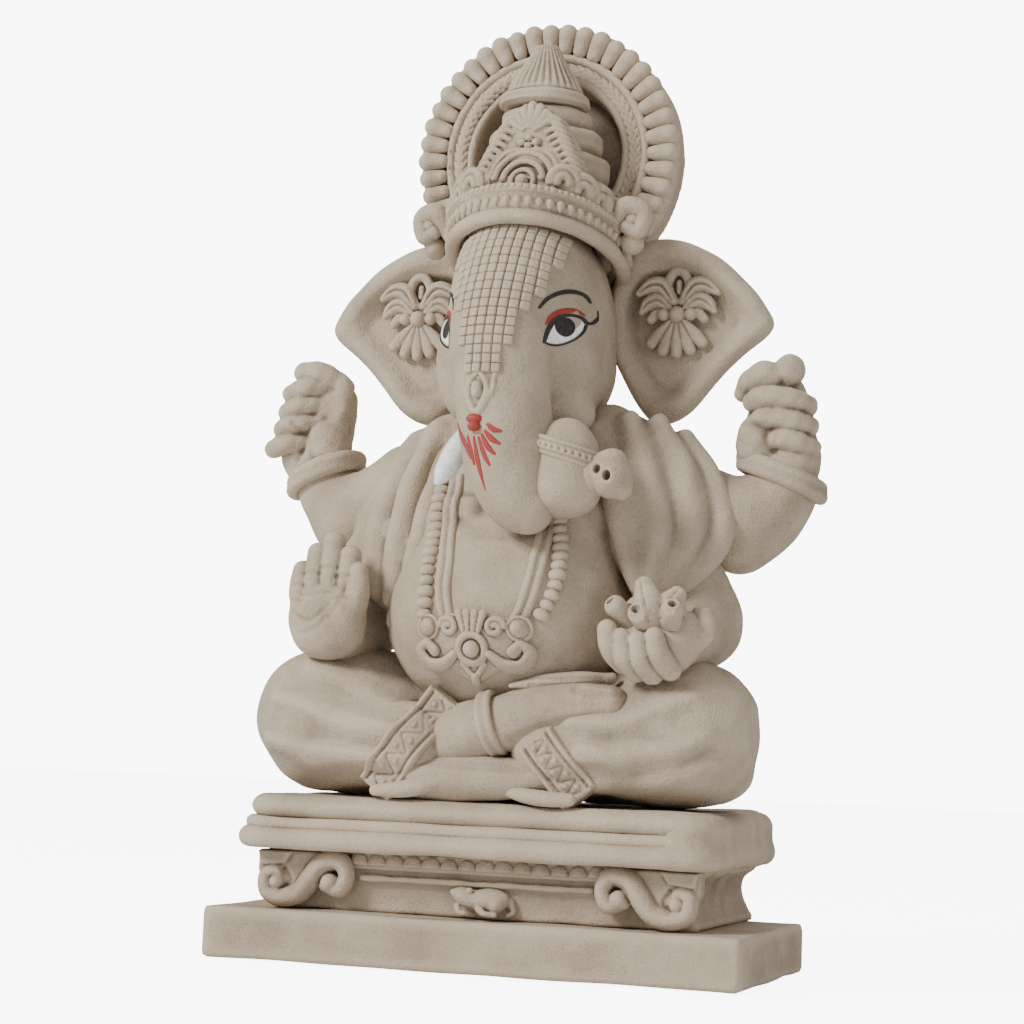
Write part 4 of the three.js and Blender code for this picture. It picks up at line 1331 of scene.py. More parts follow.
    def border(self, side: Side, start: Point, end: Point, front: Callable, name: str) -> None:
        """Models the woven border that ends a leg of the dhoti: two raised edges with a scroll between them.

        Args:
            side: The side it is on.
            start: Its lower end, in the middle of the band.
            end: Its upper end.
            front: The y of its front at each x and z.
            name: Name of the new piece.
        """
        box = Box.of(f"hem_band_{side.word}")
        start, end = np.array(start, float), np.array(end, float)
        run = end - start
        length = np.linalg.norm(run)
        along = run / length
        across = np.array((-along[1], along[0]))
        half = 6.2

        def place(u: float, v: float) -> tuple:
            """Turns a place on the band (along, across) to x and z."""
            p = start + along * u + across * v
            return float(p[0]), float(p[1])

        corners = [place(-0.5, -half), place(length, -half), place(length, half), place(-0.5, half)]
        clay = Clay(box.low - (4, 6, 4), box.high + (4, 8, 4), 0.33)
        clay.slab(corners, front, lambda x, z: front(x, z) + 7, 1.0)
        skin = clay.front()
        rails = [[place(0.6, v), place(length * 0.5, v), place(length - 0.8, v)] for v in (-half + 0.9, half - 0.9)]
        clay.trace(rails, 0.8, 0.1, blend=0.4, skin=skin)
        inner = [[place(1, v), place(length * 0.5, v), place(length - 1, v)] for v in (-half + 2.4, half - 2.4)]
        clay.trace(inner, 0.42, 0, blend=0.3, cut=True, skin=skin)
        wave = []
        turns = 4
        for i in range(turns * 4 + 1):
            u = 1.5 + (length - 3) * i / (turns * 4)
            wave.append(place(u, 2.2 * math.sin(math.pi * i / 2)))
        clay.trace([wave], 0.5, 0.1, blend=0.3, cut=True, skin=skin)
        for i in range(turns * 2):
            u = 1.5 + (length - 3) * (i + 0.5) / (turns * 2)
            centre = place(u, 1.3 if i % 2 else -1.3)
            knob = [place(u - 0.2, 1.3 if i % 2 else -1.3), centre]
            clay.trace([knob], 0.75, 0.2, blend=0.4, skin=skin)
        finish_piece(clay.mesh(name, 0.15), Slot.CLAY, self.paint.clay, f"hem_band_{side.word}")

    def borders(self) -> None:
        """Models both borders, and the thick lip of cloth that turns in under each."""
        ends = {Side.LEFT: ((-31.0, 53.0), (-10.6, 81.0)), Side.RIGHT: ((33.0, 53.2), (19.2, 70.0))}
        for side, (start, end) in ends.items():
            leg = self.leg_skins[side]

            def front(x: Field, z: Field, leg: Skin = leg) -> Field:
                """The band's front: a little proud of the cloth, and held up where the leg rounds away."""
                return np.minimum(leg.at(x + 0 * z, np.maximum(z, 58) + 0 * x), -34.5) - 1.3

            self.border(side, start, end, front, f"hem_{side.word}")
        clay = Clay((-32, -44, 50), (34, -24, 66), self.fine)
        clay.coil([(-30, -40.0, 52.6), (-20, -40.6, 53.6), (-8, -38.6, 56.6), (4, -34.6, 60.0)], (1.8, 2.6, 2.6, 1.6),
                  blend=1)
        clay.coil([(10, -37.4, 54.4), (17, -39.6, 53.0), (24, -41.0, 52.4), (31, -40.4, 52.4)], (1.6, 2.2, 2.4, 1.8),
                  blend=1)
        clay.trim((-33, -44, 50.1), (34, -24, 66))
        finish_piece(clay.mesh("hem_lips", 0.2), Slot.CLAY, self.paint.clay)

    def sash(self) -> None:
        """Models the end of the sash that shows under the belly."""
        box = Box.of("sash_fold")
        clay = Clay(box.low - (24, 10, 2), box.high + (2, 4, 2), self.fine)
        clay.coil([(10, -36, 85.0), (18, -34.6, 86.4), (28, -31.0, 87.4), (38, -25, 88.6)], (0.9, 2.0, 2.8, 1.6))
        clay.trace([[(10, 87.4), (22, 87.6), (36, 88.4)], [(16, 85.4), (26, 85.8), (36, 87.2)]], 0.5, blend=0.6,
                   cut=True)
        finish_piece(clay.mesh("sash_end", 0.3), Slot.CLAY, self.paint.clay, "sash_fold")

    def build(self) -> None:
        """Builds the body and legs."""
        self.torso()
        for side in Side:
            self.leg(side)
        self.feet()
        self.borders()
        self.sash()


# ---------------------------------------------------------------- arms and shawl


@dataclass
class Arms:
    """The two raised arms, the blessing hand, the hand with sweets, and the shawl over the shoulders."""

    paint: Paintbox
    grain: float = 1.0
    fine: float = 0.5

    def raised_arm(self, side: Side) -> None:
        """Models the upper arm and the short forearm of a raised arm.

        Args:
            side: The arm's side.
        """
        box = Box.of(f"raised_arm_{side.word}")
        clay = Clay(box.low - 5, box.high + 8, self.grain)
        if side is Side.RIGHT:
            clay.coil([(40, 7, 147), (55, 10, 141), (66, 12.5, 137.4)], (15.5, 14.8, 13.4))
            clay.coil([(66, 12.5, 137.4), (73, 13.5, 141.6), (77.8, 14, 148), (79.2, 14, 153)],
                      (13.4, 12.8, 11.6, 10.8), blend=4)
        else:
            clay.coil([(-40, 7, 147), (-53, 10, 141), (-62, 12, 138.4)], (15.5, 14.4, 12.8))
            clay.coil([(-62, 12, 138.4), (-68, 13.4, 143.4), (-72.2, 14, 149), (-73.4, 14, 153)],
                      (12.8, 11.6, 10.4, 9.8), blend=4)
        clay.trim(box.low - 4, box.high + (7, 4, 0))
        finish_piece(clay.mesh(f"arm_raised_{side.word}", 0.4), Slot.CLAY, self.paint.clay, f"raised_arm_{side.word}")

    def bracelet(self, side: Side) -> None:
        """Models a thick bracelet that slopes out and down.

        Args:
            side: The arm's side.
        """
        box = Box.of(f"bracelet_{side.word}")
        s, radius = side.value, {Side.LEFT: 10.8, Side.RIGHT: 12.2}[side]
        c = box.middle + (s * -1.0 if side is Side.LEFT else 4.2, 0, 0.4)
        clay = Clay(box.low - 5, box.high + 6, 0.45)
        points = []
        for i in range(17):
            turn = 2 * math.pi * i / 16
            points.append((c[0] + radius * math.cos(turn), c[1] + 11.2 * math.sin(turn),
                           c[2] - s * 4.8 * math.cos(turn) - 0.6 * math.sin(turn)))
        for lift in (-1.4, 1.2):
            clay.coil([(x, y, z + lift) for x, y, z in points], 2.2, blend=1.0, steps=2)
        finish_piece(clay.mesh(f"bangle_{side.word}", 0.25), Slot.CLAY, self.paint.clay, f"bracelet_{side.word}")

    def raised_hands(self) -> None:
        """Models both raised fists: rolled fingers stacked on the outer side, each hand as it was modelled."""
        box = Box.of("raised_hand_left")
        clay = Clay(box.low - (5, 6, 8), box.high + (3, 3, 4), self.fine)
        clay.coil([(-75.5, 14, 152), (-75.5, 13.5, 161), (-74.4, 13, 170)], (10.2, 10.2, 10.0), flat=0.8)
        clay.ball((-71.4, 8.6, 163.0), (7.2, 6.4, 8.6), (0, -18, 0), blend=2)
        clay.ball((-80.5, 12.4, 158.5), (8.0, 7.2, 7.2), blend=3)
        clay.ball((-72.6, 12.6, 177), (9.4, 7.6, 8.4), (0, 18, 0), blend=3)
        for x, z, r in ((-89.0, 161.0, 3.3), (-86.0, 167.4, 3.4), (-84.6, 173.2, 3.4), (-83.4, 179.0, 3.4)):
            clay.coil([(x + 11.5, 8.4, z + 2.6), (x + 5, 4.6, z + 1.8), (x, 6.0, z)], (3.2, r + 0.1, r), blend=0.7)
        clay.coil([(-80.0, 8.0, 186.2), (-74.4, 7.6, 185.4), (-68.6, 9.6, 183.0)], (3.9, 4.4, 3.6), blend=0.8)
        clay.coil([(-66.6, 9.4, 181.4), (-67.4, 8.4, 174.6), (-68.0, 8.6, 167.6)], (3.4, 3.3, 3.0), blend=1.6)
        skin = clay.front()
        clay.trace([[(-71.6, 171), (-76.6, 166.4), (-74.4, 156.8)], [(-81, 168.8), (-77.4, 164.6), (-80.0, 157.4)]], 0.8,
                   0.3, blend=1.2, cut=True, skin=skin)
        finish_piece(clay.mesh("fist_left", 0.3, 12), Slot.CLAY, self.paint.clay, "raised_hand_left")
        box = Box.of("raised_hand_right")
        clay = Clay(box.low - (4, 6, 8), box.high + (5, 3, 4), self.fine)
        clay.coil([(78.0, 14, 153), (78.6, 13.5, 161), (77.6, 13, 171)], (10.6, 10.8, 10.0), flat=0.8)
        clay.ball((71.6, 8.4, 163.2), (6.4, 6.6, 8.8), blend=2)
        clay.ball((83.6, 12.4, 158.4), (7.4, 7.6, 8.4), blend=3)
        clay.ball((77, 12.5, 178), (9.0, 7.4, 7.6), blend=2.5)
        for x, z, r, reach in ((88.6, 163.4, 3.2, 12.6), (87.6, 169.8, 3.5, 15.6), (86.8, 176.2, 3.6, 16.2)):
            clay.coil([(x, 9.6, z - 1.6), (x - 3.6, 5.6, z - 0.2), (x - reach + 4, 4.8, z + 0.6), (x - reach, 6.6, z - 0.6)],
                      (r - 0.2, r, r + 0.1, r - 0.4), blend=0.8)
        clay.coil([(70.0, 8.4, 182.4), (73.6, 7.4, 184.0), (76.4, 7.8, 183.4)], (4.2, 4.6, 4.2), blend=0.8)
        clay.ball((81.4, 8.4, 185.6), (4.8, 5.0, 5.2), blend=0.8)
        clay.coil([(67.8, 9.0, 181.2), (66.2, 9.8, 178.4)], (3.0, 2.4), blend=1.2)
        skin = clay.front()
        clay.trace([[(77.4, 160.4), (73.8, 167.2), (68.6, 168.6)], [(79.4, 165.0), (78.4, 159.0), (82.0, 156.2)]], 0.8, 0.3,
                   blend=1.2, cut=True, skin=skin)
        finish_piece(clay.mesh("fist_right", 0.3, 12), Slot.CLAY, self.paint.clay, "raised_hand_right")

    def blessing(self) -> None:
        """Models the arm and the open hand that blesses: fingers together, thumb beside them."""
        box = Box.of("blessing_arm")
        clay = Clay(box.low - 2, box.high + 2, self.grain)
        clay.coil([(-41, -2, 130), (-52, 3, 116), (-55, 3.5, 106)], (13.4, 13.6, 13.8))
        clay.coil([(-55, 3.5, 106), (-54, -10, 101), (-53, -20, 100)], (13.4, 11.4, 9.6), blend=4)
        clay.trim(box.low - 0.6, box.high + 0.6)
        finish_piece(clay.mesh("arm_blessing", 0.4), Slot.CLAY, self.paint.clay, "blessing_arm")
        box = Box.of("blessing_hand")
        clay = Clay(box.low - (4, 4, 4), box.high + (4, 8, 6), self.fine)
        clay.ball((-53.6, -27.5, 104), (12.6, 5.8, 12.4), (6, 0, 0))
        clay.ball((-52.4, -28.4, 99.0), (10.8, 6.6, 7.0), blend=2.5)
        clay.ball((-46.8, -29.4, 105.0), (6.2, 5.4, 9.6), (0, -12, 0), blend=1.8)
        for x, top, r in ((-63.0, 119.0, 3.3), (-58.2, 124.4, 3.5), (-52.8, 127.8, 3.6), (-47.2, 123.6, 3.5)):
            clay.coil([(x + 1.6, -28, 106), (x + 0.4, -28.4, (106 + top) / 2), (x + 0.6, -27.2, top)],
                      (r + 0.5, r + 0.1, r - 0.2), blend=0.35)
        clay.coil([(-45.4, -29.6, 103.5), (-42.6, -30.4, 111.5), (-43.0, -29.0, 118.6)], (4.2, 3.9, 3.0), blend=0.8)
        skin = clay.front()
        for x, low, high in ((-62.6, 109.4, 114.4), (-57.8, 111.4, 118.2), (-52.4, 112.2, 120.0), (-47.2, 110.6, 117.4)):
            clay.trace([[(x - 2.6, z - 0.4), (x, z), (x + 2.6, z - 0.2)] for z in (low, high)], 0.6, 0.3, blend=0.6,
                       cut=True, skin=skin)
        clay.trace([[(-63.4, 105.6), (-56.6, 103.6), (-50.6, 108.6)], [(-60.4, 99.4), (-54.0, 101.4), (-50.2, 107.4)]],
                   0.65, 0.3, blend=0.9, cut=True, skin=skin)
        clay.trace([[(-46.8, 117.0), (-46.6, 110.6), (-50.4, 104.6)]], 0.7, 0.4, blend=1.0, cut=True, skin=skin)
        finish_piece(clay.mesh("palm_blessing", 0.2), Slot.CLAY, self.paint.clay, "blessing_hand")

    def offering(self) -> None:
        """Models the arm and the cupped hand that holds rolled sweets."""
        box = Box.of("offering_arm")
        clay = Clay(box.low - 2, box.high + 2, self.grain)
        clay.coil([(40, -2, 130), (52, 3, 117), (55.5, 3.5, 107)], (13.4, 13.6, 13.8))
        clay.coil([(55.5, 3.5, 106), (55, -8, 102), (53.5, -18, 99)], (13.4, 11.6, 10), blend=4)
        clay.trim(box.low - 0.6, box.high + 0.6)
        finish_piece(clay.mesh("arm_offering", 0.4), Slot.CLAY, self.paint.clay, "offering_arm")
        box = Box.of("offering_hand")
        clay = Clay(box.low - (3, 3, 3), box.high + (5, 4, 4), self.fine)
        clay.ball((52, -29.6, 98), (12.6, 9.2, 9.4), (14, 0, 0))
        clay.ball((60.4, -27.6, 101.6), (6.2, 7.4, 7.2), blend=2)
        clay.coil([(62.4, -29, 98.4), (66.2, -27.6, 103), (64.8, -25.6, 108.6)], (3.2, 3.4, 2.8), blend=0.8)
        for x, z in ((41.8, 95.2), (46.0, 92.8), (51.0, 92.0), (56.2, 93.4)):
            clay.coil([(x + 1.6, -33, z - 2.2), (x - 0.6, -38.4, z + 2.0), (x - 1.6, -39.6, z + 7.0)],
                      (3.4, 3.5, 2.9), blend=0.5)
        clay.trim(box.low - (1.6, 1.4, 1.4), box.high + (4.5, 2, 2))
        finish_piece(clay.mesh("hand_offering", 0.2), Slot.CLAY, self.paint.slip, "offering_hand")

    def sweets(self) -> None:
        """Models the rolled sweets, hollow at their ends, and the leaf folded behind them."""
        box = Box.of("sweets")
        clay = Clay(box.low - (5, 4, 6), box.high + (5, 4, 3), 0.33)
        clay.ball((52, -31, 107.5), (9.6, 6.4, 7.0))
        rolls = (((46.5, -33, 104), (42.0, -38.0, 109.2), 3.2), ((51.4, -35, 103.5), (49.6, -39.4, 107.2), 3.3),
                 ((57.6, -34, 103.6), (59.2, -38.6, 108.4), 3.3))
        for foot, tip, r in rolls:
            clay.coil([foot, tuple((np.array(foot) + tip) / 2), tip], (r - 0.2, r, r), blend=0.5)
            ahead = np.array(tip) + (np.array(tip) - foot) / np.linalg.norm(np.array(tip) - foot) * (r - 0.2)
            clay.coil([tuple(ahead), tip], (1.5, 1.1), cut=True, blend=0.5)
        clay.coil([(52.4, -35.0, 103.0), (51.4, -35.6, 109.5), (49.4, -34.0, 115.4)], (3.8, 4.6, 3.0), blend=1.0)
        clay.coil([(55.4, -33.6, 104.0), (57.0, -34.0, 109.4), (59.0, -32.6, 113.0)], (3.2, 4.0, 2.8), blend=1.0)
        clay.trace([[(52.6, 105), (51.0, 111), (48.6, 117)], [(56.4, 106), (57.8, 111), (60.2, 115)]], 0.55, 0.1,
                   blend=0.5, cut=True)
        clay.trim(box.low - (3.4, 2.4, 3), box.high + (2.4, 2, 2.4))
        finish_piece(clay.mesh("sweet_rolls", 0.15), Slot.CLAY, self.paint.slip, "sweets")

    def shawl(self, side: Side) -> None:
        """Models the shawl that hangs from a shoulder over the front arm, in long soft folds.

        Args:
            side: The shoulder's side.
        """
        box = Box.of(f"shawl_{side.word}")
        clay = Clay(box.low - (8, 3, 6), box.high + (9, 2, 2), 0.75)
        folds = {
            Side.RIGHT: (((26, 3, 163, 11.5), (42, 4, 150, 14.5), (50, 0, 134, 13), (46, -9, 118, 7.5)),
                         ((28, -2, 160, 8.5), (36, -7, 146, 9.5), (42, -10, 130, 9.5), (46, -12, 118, 7.0)),
                         ((25, -8, 164, 3.4), (32, -14.0, 148, 3.4), (37, -17.0, 131, 3.0), (42.5, -18, 116, 2.4)),
                         ((35, -6, 168, 3.4), (42.5, -11.5, 151, 4.0), (47.5, -15, 134, 4.0), (46.5, -18, 116, 3.0)),
                         ((43, -1, 168, 3.2), (52.5, -6, 151, 4.2), (56, -10.5, 134, 4.2), (50.5, -15, 117, 3.0)),
                         ((50, 4, 164, 3.0), (60.5, 1, 148, 4.2), (63.5, -4, 132, 4.4), (55, -10.5, 118, 3.2))),
            Side.LEFT: (((-25, 3, 161, 11), (-39, 4, 147, 13), (-43, -2, 130, 11.5), (-39, -9, 116, 8)),
                        ((-20, -9, 160, 3.0), (-24.5, -16.5, 145, 3.4), (-27.5, -20.5, 127, 3.4), (-31, -21.5, 107, 2.8)),
                        ((-28, -6, 165, 3.4), (-33, -12.5, 147, 4.0), (-35.5, -17, 129, 4.0), (-36, -19, 111, 3.0)),
                        ((-36, -2, 162, 3.2), (-42, -8, 146, 4.0), (-44, -12.5, 130, 4.0), (-42, -16, 114, 3.0)),
                        ((-44, 4, 156, 3.0), (-50.5, 0, 142, 4.0), (-51, -5, 128, 4.0), (-47.5, -10.5, 115, 3.0)))}
        for i, line in enumerate(folds[side]):
            sink = 0.6 if i else 0
            clay.coil([(x, y + sink, z) for x, y, z, half in line], [p[3] for p in line], blend=3.0 if i else 0, steps=7)
        if side is Side.LEFT:
            clay.block((-36.5, -23, 101.5), (-28, -17, 108), 2.4, blend=2.5)
        finish_piece(clay.mesh(f"shawl_over_{side.word}", 0.4), Slot.CLAY, self.paint.clay, f"shawl_{side.word}")

    def build(self) -> None:
        """Builds the arms, hands and shawl."""
        for side in Side:
            self.raised_arm(side)
            self.bracelet(side)
            self.shawl(side)
        self.raised_hands()
        self.blessing()
        self.offering()
        self.sweets()


# ---------------------------------------------------------------- head


@dataclass
class Head:
    """The elephant's head: face, trunk with its curl, tusk, ears, netting and painted eyes."""

    paint: Paintbox
    grain: float = 0.8
    fine: float = 0.48
    rows: int = 17  # of the netting
    skin: Skin = None
    trunk_skin: Skin = None

    def face(self) -> None:
        """Models the head and the trunk down to its turn, with the crease where trunk meets cheek."""
        box, low = Box.of("head"), Box.of("trunk")
        clay = Clay((box.low[0] - 1, low.low[1] - 2, box.low[2] - 4), box.high + 1, self.grain)
        clay.ball((0.5, 0, 198), (25.5, 34, 36))
        clay.ball((0.5, 3, 184), (24.5, 28, 20), blend=6)
        for side in Side:
            clay.ball((0.5 + side.value * 13.5, -11, 185), (12.8, 17.5, 20), blend=5)
        clay.ball((0.5, -12, 208), (19, 20, 18), blend=6)
        clay.coil([(0.5, -12, 214), (0.5, -23, 201), (1.0, -30.5, 187), (2.6, -33.5, 172)], (18, 17.2, 16.0, 14.6),
                  blend=5, steps=8)
        clay.ball((16.5, -15, 168.5), (9.5, 9, 6.2), blend=5)
        clay.trim((box.low[0] - 1, low.low[1] - 2, box.low[2] - 3), box.high + 1)
        self.skin = Skin.of(clay)
        finish_piece(clay.mesh("elephant_face", 0.25, 30), Slot.CLAY, self.paint.clay, "head")

    def trunk(self) -> None:
        """Models the trunk below the eyes, which hangs down and turns to the idol's left."""
        box = Box.of("trunk")
        clay = Clay(box.low - (2, 3, 2), box.high + 2, self.fine + 0.1)
        clay.coil([(1.2, -30.8, 185), (3.0, -33.6, 172), (5.2, -35.2, 160), (6.6, -36, 150), (9.5, -37, 141),
                   (13.5, -36.5, 137.6)], (15.4, 14.5, 14.2, 12.6, 9.6, 7.6), steps=8)
        skin = clay.front()
        loop = [(-0.4, 177.8), (-3.4, 173.2), (-3.0, 169.0), (-0.3, 165.4), (2.4, 169.2), (2.9, 173.4), (0.0, 177.8)]
        clay.trace([loop], 0.75, 0.3, blend=0.4, skin=skin)
        clay.trace([[(-5.4, 177.0), (-4.4, 170.8), (-0.6, 163.8)], [(5.2, 177.0), (4.4, 170.8), (0.2, 163.8)]], 0.6, 0.2,
                   blend=0.4, skin=skin)
        clay.trace([[(-0.3, 173.0), (-0.2, 171.0)]], 1.6, 0.6, blend=0.5, skin=skin)
        clay.trim((-30, -51.5, 128.5), (40, 0, 182))
        self.trunk_skin = Skin.of(clay)
        finish_piece(clay.mesh("trunk_hanging", 0.2), Slot.CLAY, self.paint.clay, "trunk")

    def curl(self) -> None:
        """Models the trunk's curled end: a bulb with a notched band round it, and the snout beside it."""
        box = Box.of("trunk_curl")
        clay = Clay(box.low - (6, 3, 3), box.high + (3, 3, 6), 0.36)
        clay.ball((23.6, -33, 151.0), (10.6, 10.0, 14.4))
        clay.ball((24.0, -33.6, 144.0), (10.2, 9.8, 8.8), blend=4)
        clay.coil([(15.4, -36, 163), (14.0, -42, 152), (16.0, -41, 138)], 0.9, blend=1.6, cut=True)
        finish_piece(clay.mesh("trunk_bulb", 0.2), Slot.CLAY, self.paint.clay, "trunk_curl")
        band = Box.of("trunk_band")
        clay = Clay(band.low - (3, 5, 5), band.high + (3, 5, 5), 0.3)
        ring = []
        for i in range(21):
            turn = 2 * math.pi * i / 20
            ring.append((23.8 + 10.4 * math.cos(turn), -33.2 + 9.9 * math.sin(turn), 155.0 - 3.2 * math.cos(turn)))
        clay.coil(ring, 1.5, steps=2)
        for lift in (-2.0, 2.0):
            clay.coil([(x, y, z + lift) for x, y, z in ring], 0.85, blend=0.3, steps=2)
        for i in range(34):
            turn = 2 * math.pi * i / 34
            c, s = math.cos(turn), math.sin(turn)
            clay.ball((23.8 + 12.0 * c, -33.2 + 11.5 * s, 155.0 - 3.2 * c), (0.62, 0.62, 1.1), cut=True, blend=0.3)
        finish_piece(clay.mesh("trunk_notched_band", 0.0), Slot.CLAY, self.paint.clay, "trunk_band")
        tip = Box.of("trunk_tip")
        clay = Clay(tip.low - 4, tip.high + 4, 0.36)
        clay.coil([(31, -34, 147.5), (34.6, -34.6, 148.4), (38.4, -35, 147.4)], (6.6, 6.0, 6.4))
        clay.ball((38.6, -36.0, 152.6), (4.4, 3.8, 3.2), blend=1.4)
        clay.ball((41.6, -35.0, 144.4), (3.4, 3.8, 3.8), blend=1.4)
        for x, z in ((35.4, 149.4), (38.6, 147.4)):
            clay.ball((x, -41.2, z), (1.2, 2.8, 1.6), cut=True, blend=0.5)
        finish_piece(clay.mesh("trunk_snout", 0.2), Slot.CLAY, self.paint.clay, "trunk_tip")

    def tusk(self) -> None:
        """Models the one tusk, on the idol's right, thick at its foot."""
        box = Box.of("tusk")
        clay = Clay(box.low - 3, box.high + 3, 0.35)
        clay.coil([(-9.6, -26, 163), (-11.4, -32, 156), (-13.6, -35.4, 149.6), (-15.4, -37, 145.6)],
                  (2.6, 3.7, 3.2, 1.2))
        finish_piece(clay.mesh("tusk_white", 0.15), Slot.WHITE, self.paint.white, "tusk")

    def ear(self, side: Side) -> None:
        """Models an ear: a thick fan with a rolled upper rim and a sunk middle.

        Args:
            side: The ear's side.
        """
        box = Box.of("ear_right")
        clay = Clay(box.low - (2, 3, 2), box.high + (2, 3, 2), 0.7)
        y0, y1 = box.low[1], box.high[1]
        edge = [(20, 206), (24, 222), (33, 228.4), (45, 227.6), (57, 221.5), (67, 212.5), (73.4, 203.5), (72, 198.5),
                (65, 192.5), (58, 186.5), (52, 179.5), (45, 172.2), (37.5, 170.4), (31.5, 175), (26, 184), (21, 195)]
        outline = curve_through(edge, 5, closed=True)
        clay.slab(outline, y0 + 0.6, y1, 3.2)
        rim = [(26, y0 + 3.4, 218), (33, y0 + 2.8, 224.6), (45, y0 + 2.4, 223.8), (56, y0 + 2.4, 217.8),
               (65, y0 + 2.6, 209.6), (70, y0 + 3.2, 202.6)]
        clay.coil(rim, (2.6, 3.6, 3.9, 3.9, 3.6, 2.8), blend=2.0, steps=6)
        clay.coil([(69, y0 + 3.4, 200.5), (62, y0 + 3.4, 193.2), (54, y0 + 3.4, 184.6), (47.5, y0 + 3.4, 177.0),
                   (39, y0 + 3.4, 174.6)], (2.0, 1.8, 1.8, 2.2, 2.6), blend=3.4, steps=6)
        dish = curve_through([(27, 208), (33, 217.6), (45, 217.8), (55, 211.5), (63, 203), (58, 196.6), (49, 187),
                              (43, 180), (36, 182), (29, 194)], 5, closed=True)
        clay.slab(dish, y0 - 6, lambda x, z: y0 + 4.0 + 0.06 * (z - 200) - 0.05 * (x - 45), 2.4,
                  blend=4.5, cut=True)
        clay.trim(box.low - (2, 1.6, 1), box.high + (0.6, 0, 0.6))
        item = clay.mesh(f"ear_fan_{side.word}", 0.4, 34)
        if side is Side.LEFT:
            flip(item)
        finish_piece(item, Slot.CLAY, self.paint.clay, f"ear_{side.word}")

    def flower(self, side: Side) -> None:
        """Models the flower pressed into an ear: a looped bud, two pairs of leaves, three balls, five petals.

        Args:
            side: The ear's side.
        """
        box = Box.of("ear_flower_right")
        clay = Clay(box.low - (7, 4, 2), box.high + (1, 6, 6), 0.34)
        y = box.high[1] + 2.6
        c, m = box.middle[0] - 3.4, box.middle[2] + 1.8
        back = np.full((len(clay.axes[0]), len(clay.axes[2])), y)
        clay.ball((c, y + 1.2, m), (4.5, 2.4, 4.5))
        bud = [(c - 1.2, m + 4), (c - 3.6, m + 9), (c - 1.6, m + 13.4), (c + 1.6, m + 13.2), (c + 3.4, m + 9),
               (c + 1.2, m + 4)]
        clay.trace([bud], 1.5, 0.6, blend=0.3, skin=back)
        clay.trace([[(c, m + 7.4), (c, m + 10.4)]], 1.0, -0.4, skin=back)
        for s in (-1, 1):
            for line in ([(1.8, 4.2, 1.4), (5.2, 8.8, 2.8), (8.8, 9.2, 2.6), (12.8, 6.8, 1.2)],
                         [(2.8, 2.0, 1.4), (6.4, 4.4, 2.6), (9.6, 3.4, 2.3), (11.8, 0.8, 1.0)],
                         [(3.6, 0.2, 1.2), (6.6, 0.2, 1.7), (8.6, -1.6, 1.5)]):
                clay.trace([[(c + s * dx, m + dz, half) for dx, dz, half in line]], 1.8, 0.8, blend=0.3, skin=back)
                vein = [(c + s * dx, m + dz) for dx, dz, half in line]
                clay.trace([vein], 0.5, 2.8, blend=0.5, cut=True, skin=back)
        for dx, size in ((-4.4, 2.0), (0, 2.7), (4.4, 2.0)):
            clay.ball((c + dx, y - 1.6, m - 0.2), size, blend=0.3)
        for i in range(5):
            a = math.radians(-90 + (i - 2) * 21)
            ca, sa = math.cos(a), math.sin(a)
            petal = [(c + 3.0 * ca, m + 3.0 * sa, 1.0), (c + 8.4 * ca, m + 8.4 * sa, 2.0),
                     (c + 12.2 * ca, m + 12.2 * sa, 1.9)]
            clay.trace([petal], 1.8, 0.8, blend=0.25, skin=back)
        item = clay.mesh(f"ear_bloom_{side.word}", 0.0)
        if side is Side.LEFT:
            flip(item)
        finish_piece(item, Slot.CLAY, self.paint.clay, f"ear_flower_{side.word}")

    def netting(self) -> None:
        """Lays the beaded netting of the forehead: rows of pillowed cells that step in to a short tab."""
        top, foot = 222.5, 178.0
        middle, spacing = 0.9, 2.76
        cells = [12] * 4 + [10] * 3 + [10, 8, 8] + [6] * 4 + [4] * 3
        points, quads = [], []
        for row, count in enumerate(cells):
            for column in range(count):
                corners = []
                for across, down in ((0, 0), (1, 0), (1, 1), (0, 1)):
                    x = middle + (column + across - count / 2) * spacing
                    share = (row + down) / self.rows
                    arch = 4.4 * (1 - ((x - middle) / 17) ** 2) * (1 - share)
                    corners.append((x, top + (foot - top) * share + arch - 1.0))
                quads.append([len(points) + k for k in (3, 2, 1, 0)])
                points += corners
        flat = np.array(points)
        skin = np.minimum(self.skin.at(flat[:, 0], flat[:, 1]), self.trunk_skin.at(flat[:, 0], flat[:, 1]))
        place = np.column_stack([flat[:, 0], skin + 0.5, flat[:, 1]])
        cells = new_object("netting_cells", place, np.array(quads), crease=False)
        made = run_tree(pillow_tree(), cells, "netting_pillows", Rise=1.5 * MM, Gap=1.0, Top=0.9)
        add_hollow(made)
        finish_piece(made, Slot.CLAY, self.paint.clay, "forehead_netting")

    def jewel(self) -> None:
        """Models the small two-tier jewel under the netting."""
        box = Box.of("forehead_jewel")
        clay = Clay(box.low - 3, box.high + 3, 0.25)
        y = float(self.trunk_skin.at(np.array([-0.2]), np.array([161.4]))[0])
        clay.ball((-0.4, y - 0.2, 163.2), (2.6, 1.6, 1.5))
        clay.ball((-0.2, y - 0.6, 160.8), (2.1, 1.9, 1.5), blend=0.2)
        clay.ball((-0.1, y - 1.6, 161.0), (1.0, 1.0, 0.8), blend=0.2)
        finish_piece(clay.mesh("jewel_red", 0), Slot.RED, self.paint.red, "forehead_jewel")

